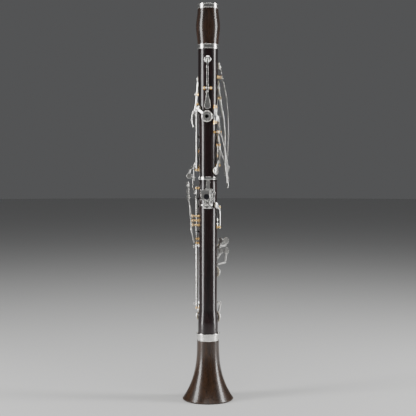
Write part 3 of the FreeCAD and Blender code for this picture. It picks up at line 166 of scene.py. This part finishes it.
class Recipe:
    """A material under making. Its pattern is laid out in the object's own coordinates."""

    def __init__(self, name):
        self.material = bpy.data.materials.new(name)
        self.material.use_nodes = True
        self.tree = self.material.node_tree
        self.shader = self.tree.nodes["Principled BSDF"]
        self.place = self.tree.nodes.new("ShaderNodeTexCoord").outputs["Object"]

    def add(self, kind, settings=None, **inputs):
        """A node with its settings and its inputs, which are values or other nodes' outputs."""
        node = self.tree.nodes.new("ShaderNode" + kind)
        for name, value in (settings or {}).items():
            setattr(node, name, value)
        for name, value in inputs.items():
            self.put(node.inputs[name.replace("_", " ")], value)
        return node

    def put(self, socket, value):
        """Link a socket to another node's output, or set its own value."""
        if isinstance(value, bpy.types.NodeSocket):
            self.tree.links.new(value, socket)
        else:
            socket.default_value = value

    def finish(self, **inputs):
        """The finished material, with its shader's inputs."""
        for name, value in inputs.items():
            if isinstance(value, tuple) and len(value) == 3:
                value = (*value, 1)
            self.put(self.shader.inputs[name.replace("_", " ")], value)
        return self.material

    def along(self, stretch, shift=(0, 0, 0)):
        """The object's coordinates drawn out along Z, as wood's grain and a lathe's marks are."""
        return self.add("Mapping", Vector=self.place, Scale=(1, 1, 1 / stretch),
                        Location=shift).outputs["Vector"]

    def noise(self, place, width, detail=4.0, roughness=0.55, distortion=0.0):
        """Soft noise whose patches are about as wide as width."""
        return self.add("TexNoise", Vector=place, Scale=1 / width, Detail=detail,
                        Roughness=roughness, Distortion=distortion).outputs["Fac"]

    def ramp(self, value, *stops):
        """Colours or greys at places from 0 to 1."""
        node = self.add("ValToRGB", Fac=value)
        points = node.color_ramp.elements
        while len(points) < len(stops):
            points.new(0.5)
        for point, (place, shade) in zip(points, stops):
            point.position = place
            shade = (shade,) * 3 if isinstance(shade, (int, float)) else tuple(shade)
            point.color = (*shade, 1)
        return node.outputs["Color"]

    def mix(self, share, first, second):
        """The first colour, with a share of the second laid over it."""
        node = self.add("Mix", {"data_type": "RGBA"})
        for index, value in ((0, share), (6, first), (7, second)):
            if isinstance(value, tuple) and len(value) == 3:
                value = (*value, 1)
            self.put(node.inputs[index], value)
        return node.outputs[2]

    def span(self, value, low, high, start=0.0, end=1.0):
        """Values from start to end made to run from low to high."""
        return self.add("MapRange", {"clamp": True}, Value=value, From_Min=start, From_Max=end,
                        To_Min=low, To_Max=high).outputs["Result"]

    def bump(self, height, distance, strength, over=None):
        """A raised pattern, on its own or over another one."""
        node = self.add("Bump", Height=height, Distance=distance, Strength=strength)
        if over is not None:
            self.put(node.inputs["Normal"], over)
        return node.outputs["Normal"]


def faded(shade, share):
    """A share of a colour's light."""
    return tuple(part * share for part in shade)


def figured_wood(name, dark, warm, shift, gloss):
    """Oiled and polished wood whose figure, grain and pores run along the bore."""
    wood = group("wood")
    recipe = Recipe(name)
    bands = recipe.noise(recipe.along(7, shift), wood.figure_width, 5, 0.6, 0.9)
    grain = recipe.noise(recipe.along(34, shift), wood.grain_width, 3, 0.6)
    pores = recipe.noise(recipe.along(11, shift), wood.pore_width, 2, 0.5)
    fleck = recipe.noise(recipe.along(2.2, shift), wood.figure_width * 0.35, 4, 0.65)
    ground = recipe.ramp(bands, (0.30, tuple(dark)), (0.52, tuple(warm)),
                         (0.74, tuple(min(part * 1.55, 1) for part in warm)))
    ground = recipe.mix(recipe.span(fleck, 0.0, 0.75, 0.5, 0.72), ground,
                        faded(warm, 0.45))
    ground = recipe.mix(recipe.span(grain, 0.0, 0.85, 0.50, 0.66), ground, tuple(dark))
    ground = recipe.mix(recipe.span(pores, 0.0, 0.8, 0.62, 0.70), ground,
                        faded(dark, 0.3))
    hollow = recipe.span(pores, 1.0, 0.0, 0.60, 0.70)
    normal = recipe.bump(hollow, 0.00002, 0.25, recipe.bump(grain, 0.00002, 0.15))
    return recipe.finish(Base_Color=ground, Normal=normal,
                         Roughness=recipe.span(grain, gloss, gloss + 0.16, 0.3, 0.7),
                         Specular_IOR_Level=0.5, Coat_Weight=0.35, Coat_Roughness=0.09)


def plated(name, bright, dull, polish, handled):
    """Plated metal: bright, with dull clouds and fine polishing marks."""
    recipe = Recipe(name)
    cloud = recipe.noise(recipe.place, 0.006, 3, 0.5)
    breath = recipe.noise(recipe.place, 0.0011, 3, 0.6)
    marks = recipe.noise(recipe.along(22), 0.00009, 2, 0.5)
    shade = recipe.mix(recipe.span(cloud, 0.0, 0.34, 0.48, 0.75), tuple(bright), tuple(dull))
    shade = recipe.mix(recipe.span(breath, 0.0, 0.16, 0.55, 0.75), shade, tuple(dull))
    rough = recipe.mix(recipe.span(breath, 0.0, 1.0, 0.35, 0.7),
                       recipe.span(cloud, polish, handled, 0.38, 0.7), (handled,) * 3)
    return recipe.finish(Base_Color=shade, Metallic=1.0, Roughness=rough,
                         Normal=recipe.bump(marks, 0.000004, 0.35))


def cut_cork(name):
    """Cork cut across its cells, with brown stains."""
    recipe = Recipe(name)
    cells = recipe.add("TexVoronoi", Vector=recipe.place, Scale=1600.0).outputs["Distance"]
    stain = recipe.noise(recipe.place, 0.0009, 4, 0.6)
    shade = recipe.ramp(stain, (0.30, (0.20, 0.10, 0.045)), (0.5, (0.56, 0.36, 0.18)),
                        (0.72, (0.70, 0.50, 0.29)))
    return recipe.finish(Base_Color=shade, Roughness=recipe.span(stain, 0.7, 0.9),
                         Normal=recipe.bump(cells, 0.0001, 0.6))


def pad_skin(name):
    """Thin pale skin stretched over felt, faintly creased."""
    recipe = Recipe(name)
    crease = recipe.noise(recipe.place, 0.0007, 5, 0.65, 1.4)
    shade = recipe.ramp(crease, (0.3, (0.60, 0.50, 0.34)), (0.65, (0.86, 0.80, 0.66)))
    return recipe.finish(Base_Color=shade, Roughness=recipe.span(crease, 0.38, 0.6),
                         Normal=recipe.bump(crease, 0.00005, 0.5), Sheen_Weight=0.15)


def finishes():
    """Every finish of the instrument, by material slot. Each is made once and kept."""
    if FINISHES:
        return FINISHES
    wood, metal = group("wood"), group("metal")
    FINISHES.update({
        "barrel_wood": figured_wood("Barrel wood", wood.barrel_dark, wood.barrel_warm,
                                    (0.31, 0.12, 0.05), 0.20),
        "bell_wood": figured_wood("Bell wood", wood.bell_dark, wood.bell_warm,
                                  (0.07, 0.43, 0.21), 0.22),
        "joint_wood": figured_wood("Joint wood", wood.joint_dark, wood.joint_warm,
                                   (0.55, 0.26, 0.37), 0.19),
        "key_silver": plated("Key silver", metal.silver, metal.tarnish, metal.polish,
                             metal.handled),
        "ring_silver": plated("Ring silver", metal.silver, metal.tarnish, metal.polish * 0.8,
                              metal.handled * 0.8),
        "tube_silver": plated("Tube silver", metal.silver, metal.tarnish, metal.handled,
                              metal.handled * 1.4),
        "gold_plate": plated("Gold plate", metal.gold, metal.gold_dull, metal.polish,
                             metal.handled),
        "rod_steel": plated("Rod steel", metal.steel, faded(metal.steel, 0.6),
                            metal.handled, metal.handled * 1.3),
        "spring_steel": plated("Spring steel", metal.steel_blue,
                               faded(metal.steel_blue, 0.5), metal.handled,
                               metal.handled * 1.3),
        "dark_steel": plated("Dark steel", metal.dark, faded(metal.dark, 0.5),
                             metal.handled, metal.handled * 1.3),
        "tenon_cork": cut_cork("Cut cork"),
        "pad_skin": pad_skin("Pad skin"),
    })
    return FINISHES


def clothe(piece, finish):
    """Give a piece one finish all over."""
    piece.data.materials.clear()
    piece.data.materials.append(finishes()[finish])


def alone(piece):
    """Select one piece and nothing else."""
    bpy.ops.object.select_all(action="DESELECT")
    piece.select_set(True)
    bpy.context.view_layer.objects.active = piece


def edit(piece):
    """Open one piece for editing."""
    alone(piece)
    bpy.ops.object.mode_set(mode="EDIT")


def leave():
    """Close the piece that is open for editing."""
    bpy.ops.object.mode_set(mode="OBJECT")


def apply_all(piece):
    """Apply a piece's modifiers in their order."""
    alone(piece)
    for modifier in list(piece.modifiers):
        bpy.ops.object.modifier_apply(modifier=modifier.name)


def settle(piece):
    """Put a piece's place into its mesh, and leave its object at the origin."""
    alone(piece)
    bpy.ops.object.transform_apply(location=True, rotation=True, scale=True)


def smooth(piece, angle):
    """Shade a piece smooth, apart from edges that are sharper than an angle in degrees."""
    alone(piece)
    bpy.ops.object.shade_smooth_by_angle(angle=math.radians(angle))


def bevelled(piece, width, angle, segments):
    """Round a piece's sharp edges, after any modifier that it has."""
    modifier = piece.modifiers.new("Edges", "BEVEL")
    modifier.width = width
    modifier.segments = segments
    modifier.limit_method = "ANGLE"
    modifier.angle_limit = math.radians(angle)
    apply_all(piece)


def merged_copy(node, name):
    """A copy of a CAD node with its doubled corners merged, so that it can be shaped."""
    piece = bpy.data.objects.new(name, NODES[node].data.copy())
    bpy.context.scene.collection.objects.link(piece)
    edit(piece)
    bpy.ops.mesh.select_all(action="SELECT")
    bpy.ops.mesh.remove_doubles(threshold=WELD)
    leave()
    bpy.ops.mesh.customdata_custom_splitnormals_clear()
    return piece


def dress(piece, finish, body, *stands_for):
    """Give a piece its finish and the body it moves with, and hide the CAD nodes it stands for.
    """
    clothe(piece, finish)
    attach(piece, body)
    if stands_for:
        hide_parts(*stands_for)
    return piece


def joined(pieces, name):
    """Several meshes made one piece."""
    bpy.ops.object.select_all(action="DESELECT")
    for piece in pieces:
        piece.select_set(True)
    bpy.context.view_layer.objects.active = pieces[0]
    bpy.ops.object.join()
    pieces[0].name = name
    return pieces[0]


def polar(angle, radius, height):
    """A point round the bore, at an angle in degrees from +X towards +Y."""
    turn = math.radians(angle)
    return Vector((radius * math.cos(turn), radius * math.sin(turn), height))


def frame_at(point, along, outward):
    """A placing that turns +Z to along and +X as near as it can to outward."""
    z = along.normalized()
    y = z.cross(outward).normalized()
    x = y.cross(z)
    return Matrix(((x.x, y.x, z.x, point.x), (x.y, y.y, z.y, point.y),
                   (x.z, y.z, z.z, point.z), (0, 0, 0, 1)))


def placed_copy(pattern, place):
    """A copy of a finished pattern with its own mesh, put in its place in that mesh."""
    piece = bpy.data.objects.new(pattern.name, pattern.data.copy())
    piece.data.transform(place)
    bpy.context.scene.collection.objects.link(piece)
    return piece


def drop(piece):
    """Throw away a pattern or a cutter that has done its work."""
    bpy.data.objects.remove(piece)


def rods(node):
    """The two end centres of every rod in a node, found from its corners far along its axis."""
    far_share = 0.75
    mesh = bmesh.new()
    mesh.from_mesh(NODES[node].data)
    bmesh.ops.remove_doubles(mesh, verts=mesh.verts, dist=WELD)
    left = set(mesh.verts)
    found = []
    while left:
        island, front = set(), [left.pop()]
        while front:
            corner = front.pop()
            island.add(corner)
            for edge in corner.link_edges:
                other = edge.other_vert(corner)
                if other in left:
                    left.discard(other)
                    front.append(other)
        points = [corner.co.copy() for corner in island]
        middle = sum(points, Vector()) / len(points)
        axis = max(points, key=lambda point: ((point - middle).length, point.z)) - middle
        reach = max(abs((point - middle).dot(axis)) for point in points)
        ends = []
        for way in (-1, 1):
            cap = [point for point in points if way * (point - middle).dot(axis) > far_share * reach]
            ends.append(sum(cap, Vector()) / len(cap))
        found.append(sorted(ends, key=lambda point: (round(point.z, 5), point.x)))
    mesh.free()
    return sorted(found, key=lambda pair: tuple(round(part, 5) for part in pair[0]))


def screw_head():
    """A screw head with eased edges and a slot, standing on the origin along +Z."""
    fittings = group("fittings")
    radius, tall = fittings.screw_radius, fittings.screw_height
    bpy.ops.object.select_all(action="DESELECT")
    bpy.ops.mesh.primitive_cylinder_add(vertices=32, radius=radius, depth=tall,
                                        location=(0, 0, 0))
    head = bpy.context.object
    head.name = "screw_head"
    settle(head)
    bevelled(head, fittings.eased_edge, 60, 3)
    bpy.ops.object.select_all(action="DESELECT")
    bpy.ops.mesh.primitive_cube_add(size=1, location=(0, 0, tall / 2))
    cutter = bpy.context.object
    cutter.scale = (3 * radius, fittings.slot_width, 2 * fittings.slot_depth)
    settle(cutter)
    cut = head.modifiers.new("Slot", "BOOLEAN")
    cut.object = cutter
    cut.operation = "DIFFERENCE"
    apply_all(head)
    drop(cutter)
    smooth(head, 30)
    return head


def needle():
    """A needle spring along +Z that tapers to its tip."""
    fittings = group("fittings")
    fine_edge = 0.06 * MM
    bpy.ops.object.select_all(action="DESELECT")
    bpy.ops.mesh.primitive_cone_add(vertices=12, radius1=fittings.spring_radius,
                                    radius2=fittings.spring_tip,
                                    depth=fittings.spring_length,
                                    location=(0, 0, fittings.spring_length / 2))
    piece = bpy.context.object
    piece.name = "needle"
    settle(piece)
    bevelled(piece, fine_edge, 60, 2)
    smooth(piece, 40)
    return piece


def turned_ring(name, radius, wall, low, high, bands):
    """A ring turned on a lathe; each band is its low and high share of the height and its rise."""
    bpy.ops.object.select_all(action="DESELECT")
    bpy.ops.mesh.primitive_cylinder_add(vertices=144, radius=radius, depth=high - low,
                                        end_fill_type="NOTHING", location=(0, 0, (low + high) / 2))
    piece = bpy.context.object
    piece.name = name
    settle(piece)
    soft = 0.25 * MM
    for start, end, rise in bands:
        foot, top = low + start * (high - low), low + end * (high - low)
        edit(piece)
        for height in (foot, foot + soft, top - soft, top):
            if low < height < high:
                bpy.ops.mesh.select_all(action="SELECT")
                bpy.ops.mesh.bisect(plane_co=(0, 0, height), plane_no=(0, 0, 1))
        leave()
        for corner in piece.data.vertices:
            if foot + soft / 2 < corner.co.z < top - soft / 2:
                grow = 1 + rise / radius
                corner.co.x *= grow
                corner.co.y *= grow
    solid = piece.modifiers.new("Wall", "SOLIDIFY")
    solid.thickness = wall
    solid.offset = -1
    bevelled(piece, group("fittings").eased_edge, 50, 3)
    smooth(piece, 40)
    return piece


def strip(name, points, width, thickness, sideways):
    """A flat strip of metal along a line of points."""
    bpy.ops.object.select_all(action="DESELECT")
    bpy.ops.mesh.primitive_plane_add(size=1)
    piece = bpy.context.object
    piece.name = name
    edit(piece)
    for step in range(len(points) - 2):
        leave()
        for edge in piece.data.edges:
            ends = [piece.data.vertices[corner].co for corner in edge.vertices]
            edge.select = all(abs(end.y - max(c.co.y for c in piece.data.vertices)) < 1e-6
                              for end in ends)
        edit(piece)
        bpy.ops.mesh.select_mode(type="EDGE")
        bpy.ops.mesh.extrude_region_move(TRANSFORM_OT_translate={"value": (0, 1, 0)})
    leave()
    rows = sorted({round(corner.co.y, 3) for corner in piece.data.vertices})
    for corner in piece.data.vertices:
        row = rows.index(round(corner.co.y, 3))
        corner.co = points[row] + sideways * (width / 2 if corner.co.x > 0 else -width / 2)
    solid = piece.modifiers.new("Thickness", "SOLIDIFY")
    solid.thickness = thickness
    solid.offset = 0
    bevelled(piece, thickness * 0.3, 60, 2)
    edit(piece)
    bpy.ops.mesh.select_all(action="SELECT")
    bpy.ops.mesh.normals_make_consistent(inside=False)
    leave()
    smooth(piece, 40)
    return piece


class FinishNodes(bpy.types.Operator):
    """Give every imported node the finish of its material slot"""
    bl_idname = "clarinet.finish_nodes"
    bl_label = "Finishes"

    def execute(self, context):
        for node, slot in SLOT_OF.items():
            clothe(NODES[node], slot)
        return {"FINISHED"}


class TurnedWood(bpy.types.Operator):
    """Barrel, two joints and bell with a smooth turned surface"""
    bl_idname = "clarinet.turned_wood"
    bl_label = "Turned wood"

    def execute(self, context):
        for node in ("barrel_body", "upper_joint_body", "lower_joint_body", "bell_body"):
            piece = merged_copy(node, node.replace("_body", "_turned"))
            if node == "barrel_body":
                self.waist(piece)
            smooth(piece, 30)
            dress(piece, SLOT_OF[node], BODY_OF[node], node)
        return {"FINISHED"}

    def waist(self, barrel):
        """Turn the barrel's outside hollow near its rings, so that it swells only in the middle."""
        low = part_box("barrel_bottom_ring")[1].z
        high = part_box("barrel_top_ring")[0].z
        end, swell = group("wood").barrel_end, group("wood").barrel_swell
        for corner in barrel.data.vertices:
            across = Vector((corner.co.x, corner.co.y)).length
            if across > end and low < corner.co.z < high:
                turn = 2 * math.pi * (corner.co.z - low) / (high - low)
                grow = (end + swell * (1 - math.cos(turn)) / 2) / across
                corner.co.x *= grow
                corner.co.y *= grow


def cast(node):
    """A rounded stand-in for a metal node, with soft joins between its parts."""
    piece = merged_copy(node, node + "_cast")
    form = piece.modifiers.new("Form", "REMESH")
    form.mode = "VOXEL"
    form.voxel_size = group("fittings").key_voxel
    polish = piece.modifiers.new("Polish", "SMOOTH")
    polish.factor = 0.5
    polish.iterations = 3
    trim = piece.modifiers.new("Trim", "DECIMATE")
    trim.ratio = 0.45
    apply_all(piece)
    smooth(piece, 180)
    return dress(piece, SLOT_OF[node], BODY_OF[node], node)


class RoundedKeys(bpy.types.Operator):
    """Keys as they are cast and polished: rounded edges and soft joins between their parts"""
    bl_idname = "clarinet.rounded_keys"
    bl_label = "Rounded keys"

    def execute(self, context):
        for node in KEYS:
            cast(node)
        return {"FINISHED"}


class ThumbRest(bpy.types.Operator):
    """Thumb rest with rounded plate and hook, and a dark lock screw with crisp notches"""
    bl_idname = "clarinet.thumb_rest"
    bl_label = "Thumb rest"

    def execute(self, context):
        knob_edge = 0.12 * MM
        cast("thumb_rest_plate")
        cast("thumb_rest_hook")
        knob = merged_copy("thumb_rest_lock_screw", "lock_screw")
        bevelled(knob, knob_edge, 50, 2)
        smooth(knob, 35)
        dress(knob, "dark_steel", BODY_OF["thumb_rest_lock_screw"], "thumb_rest_lock_screw")
        return {"FINISHED"}


class SoftPads(bpy.types.Operator):
    """Skin pads with rolled edges"""
    bl_idname = "clarinet.soft_pads"
    bl_label = "Pads"

    def execute(self, context):
        for node in PADS:
            piece = merged_copy(node, node + "_skin")
            bevelled(piece, group("fittings").pad_roll, 50, 3)
            smooth(piece, 40)
            dress(piece, "pad_skin", BODY_OF[node], node)
        return {"FINISHED"}


class TurnedRings(bpy.types.Operator):
    """Silver rings of the barrel and the bell, with turned grooves, and the plain middle ring"""
    bl_idname = "clarinet.turned_rings"
    bl_label = "Turned rings"

    def execute(self, context):
        fittings = group("fittings")
        lip = fittings.bell_ring_lip
        groove, bell_groove = -0.22 * MM, -0.25 * MM
        grooves = [(0.10, 0.22, groove), (0.78, 0.90, groove)]
        bands_of = {
            "barrel_bottom_ring": grooves,
            "barrel_top_ring": grooves,
            "middle_ring": [],
            "bell_ring": [(0.06, 0.15, bell_groove), (0.60, 0.70, bell_groove), (0.73, 1.01, lip)],
        }
        for node, bands in bands_of.items():
            low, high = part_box(node)
            outer = high[0] - (lip if node == "bell_ring" else 0)
            piece = turned_ring(node + "_turned", outer, fittings.ring_wall, low[2], high[2],
                                bands)
            dress(piece, SLOT_OF[node], BODY_OF[node], node)
        return {"FINISHED"}


# Where the first rod's slot points, and how far each further rod's is turned on, in degrees.
SLOT_START = 20
SLOT_STEP = 37


class RodScrews(bpy.types.Operator):
    """Slotted screw heads at both ends of every hinge rod"""
    bl_idname = "clarinet.rod_screws"
    bl_label = "Rod screws"

    def execute(self, context):
        head = screw_head()
        # A rod that points straight out still needs an outward side: this lifts it a little.
        lift = Vector((0, 0, 0.1 * MM))
        for section in ("upper", "lower"):
            heads = []
            for turn, ends in enumerate(rods(section + "_hinge_rods")):
                for near, far in (ends, ends[::-1]):
                    along = near - far
                    slot = Matrix.Rotation(math.radians(SLOT_STEP * turn + SLOT_START), 4, "Z")
                    place = frame_at(near, along, near - AXIS_Z * near.z + lift)
                    heads.append(placed_copy(head, place @ slot))
            dress(joined(heads, section + "_rod_screws"), "rod_steel", "root")
        drop(head)
        return {"FINISHED"}


# Angles round the bore, in degrees, of the hinge rods whose keys have needle springs.
SPRUNG_ANGLES = (167, -50, -12)
# From a rod's axis sideways to its spring, and from a rod's end to the spring's foot.
SPRING_ASIDE = 2.25 * MM
SPRING_INSET = 1.9 * MM
# How far nearer to the bore a spring's foot and tip lie than the rod's axis, and its lean round
# the bore in degrees.
FOOT_DEPTH = 0.5 * MM
TIP_DEPTH = 0.3 * MM
SPRING_LEAN = 1.2
# A rod has one spring from this many spring lengths on, and two from the second number on.
ROOM_FOR_ONE = 1.05
ROOM_FOR_TWO = 2.6


class NeedleSprings(bpy.types.Operator):
    """Blued needle springs beside the hinge tubes that run along the bore"""
    bl_idname = "clarinet.needle_springs"
    bl_label = "Needle springs"

    def execute(self, context):
        pattern = needle()
        tall = group("fittings").spring_length
        for section in ("upper", "lower"):
            springs = []
            for low, high in rods(section + "_hinge_rods"):
                if high.z - low.z < tall * ROOM_FOR_ONE:
                    continue
                angle = math.degrees(math.atan2(low.y, low.x))
                radius = Vector((low.x, low.y)).length
                if all(abs(angle - sprung) > 2 for sprung in SPRUNG_ANGLES):
                    continue
                beside = angle + math.degrees(SPRING_ASIDE / radius)
                for start, way in ((low.z + SPRING_INSET, 1), (high.z - SPRING_INSET, -1)):
                    if way < 0 and high.z - low.z < ROOM_FOR_TWO * tall:
                        continue
                    foot = polar(beside, radius - FOOT_DEPTH, start)
                    tip = polar(beside - SPRING_LEAN, radius - TIP_DEPTH, start + way * tall)
                    springs.append(placed_copy(pattern, frame_at(foot, tip - foot, foot)))
            dress(joined(springs, section + "_needle_springs"), "spring_steel", "root")
        drop(pattern)
        return {"FINISHED"}


# Where a key that rocks has its flat spring: the angle round the bore and the height of its
# hinge, and the radius of the wood under it, in degrees and millimetres.
ROCKERS = {
    "register_key": (268, 463, 14.7),
    "a_key": (95, 462, 14.7),
    "g_sharp_key": (143, 455, 14.7),
    "side_key_1": (5, 480, 14.7),
    "side_key_2": (30, 450, 14.7),
    "side_key_3": (340, 399, 13.2),
}
# A flat spring's line, from its screw to its tip: over the wood and along the bore, in
# millimetres.
FLAT_SPRING_LINE = ((3.1, 2.4), (3.6, -2.0), (3.4, -7.0), (2.6, -12.0), (1.9, -17.0))


class FlatSprings(bpy.types.Operator):
    """Flat springs under the keys that rock on a rod across the bore"""
    bl_idname = "clarinet.flat_springs"
    bl_label = "Flat springs"

    def execute(self, context):
        fittings = group("fittings")
        for key, (angle, pivot, wood) in ROCKERS.items():
            points = [polar(angle, (wood + rise) * MM, (pivot + along) * MM)
                      for rise, along in FLAT_SPRING_LINE]
            side = polar(angle + 90, 1, 0)
            piece = strip(key + "_flat_spring", points, fittings.flat_spring_width,
                          fittings.flat_spring_thickness, side)
            dress(piece, "spring_steel", BODY_OF[key])
        return {"FINISHED"}


FLOOR_RADIUS = 9.0
# Each lamp's place, width and height in metres, and the property that holds its power.
LAMPS = {
    "left_strip": ((-1.14, -0.40, 0.45), 0.34, 1.3, "strip_power"),
    "right_strip": ((1.20, -0.10, 0.45), 0.26, 1.3, "strip_power"),
    "overhead": ((0.1, -0.5, 1.9), 1.4, 1.4, "top_power"),
}


class Stage(bpy.types.Operator):
    """Plain pale floor, soft lights and the camera"""
    bl_idname = "clarinet.stage"
    bl_label = "Stage"

    def execute(self, context):
        stage = group("stage")
        middle = Vector((0, 0, stage.aim_height))
        self.lay_floor(stage)
        self.light_room(stage)
        self.hang_lamps(stage, middle)
        self.aim_camera(stage, middle)
        return {"FINISHED"}

    def lay_floor(self, stage):
        bpy.ops.object.select_all(action="DESELECT")
        bpy.ops.mesh.primitive_circle_add(vertices=96, radius=FLOOR_RADIUS, fill_type="NGON")
        floor = bpy.context.object
        floor.name = "studio_floor"
        recipe = Recipe("Studio floor")
        dust = recipe.noise(recipe.place, 0.4, 2, 0.4)
        shade = recipe.mix(recipe.span(dust, 0.0, 0.06), tuple(stage.floor), (1, 1, 1))
        floor.data.materials.append(recipe.finish(Base_Color=shade, Roughness=0.6))

    def light_room(self, stage):
        world = bpy.data.worlds.new("Room")
        world.use_nodes = True
        back = world.node_tree.nodes["Background"]
        back.inputs["Color"].default_value = (0.93, 0.94, 0.96, 1)
        back.inputs["Strength"].default_value = stage.sky
        bpy.context.scene.world = world

    def hang_lamps(self, stage, middle):
        """Hang soft lamps round the instrument and turn them to its middle."""
        for name, (place, width, height, power) in LAMPS.items():
            light = bpy.data.lights.new(name, "AREA")
            light.shape = "RECTANGLE"
            light.size = width
            light.size_y = height
            light.energy = getattr(stage, power)
            lamp = bpy.data.objects.new(name, light)
            lamp.visible_camera = False
            bpy.context.scene.collection.objects.link(lamp)
            lamp.location = place
            lamp.rotation_euler = (middle - lamp.location).to_track_quat("-Z", "Y").to_euler()

    def aim_camera(self, stage, middle):
        camera = bpy.data.objects.new("camera", bpy.data.cameras.new("camera"))
        camera.data.lens = stage.lens
        camera.data.sensor_width = 36
        camera.data.clip_start = 0.01
        camera.data.clip_end = 30
        camera.location = (0, -stage.camera_distance, stage.camera_height)
        aim = middle - camera.location
        camera.rotation_euler = aim.to_track_quat("-Z", "Y").to_euler()
        bpy.context.scene.collection.objects.link(camera)
        bpy.context.scene.camera = camera


class ClarinetPanel(bpy.types.Panel):
    """Everything that makes the clarinet, in the order in which it is made"""
    bl_idname = "VIEW3D_PT_clarinet"
    bl_label = "Clarinet"
    bl_space_type = "VIEW_3D"
    bl_region_type = "UI"
    bl_category = "Clarinet"

    def draw(self, context):
        for step in STEPS:
            self.layout.operator(step.bl_idname)
        for name, kind in GROUPS.items():
            box = self.layout.box()
            for prop in kind.__annotations__:
                box.prop(getattr(context.scene, name), prop)


STEPS = (FinishNodes, TurnedWood, TurnedRings, RoundedKeys, ThumbRest, SoftPads, RodScrews,
         NeedleSprings, FlatSprings, Stage)


def register():
    """Register the classes and hang the groups on the scene."""
    for kind in (*GROUPS.values(), *STEPS, ClarinetPanel):
        bpy.utils.register_class(kind)
    for name, kind in GROUPS.items():
        setattr(bpy.types.Scene, name, PointerProperty(type=kind))


def unregister():
    """Undo register."""
    for name in GROUPS:
        delattr(bpy.types.Scene, name)
    for kind in reversed((*GROUPS.values(), *STEPS, ClarinetPanel)):
        bpy.utils.unregister_class(kind)


def main():
    """Make the instrument's looks step by step."""
    register()
    for step in STEPS:
        family, name = step.bl_idname.split(".")
        getattr(getattr(bpy.ops, family), name)()


if __name__ == "__main__":
    main()
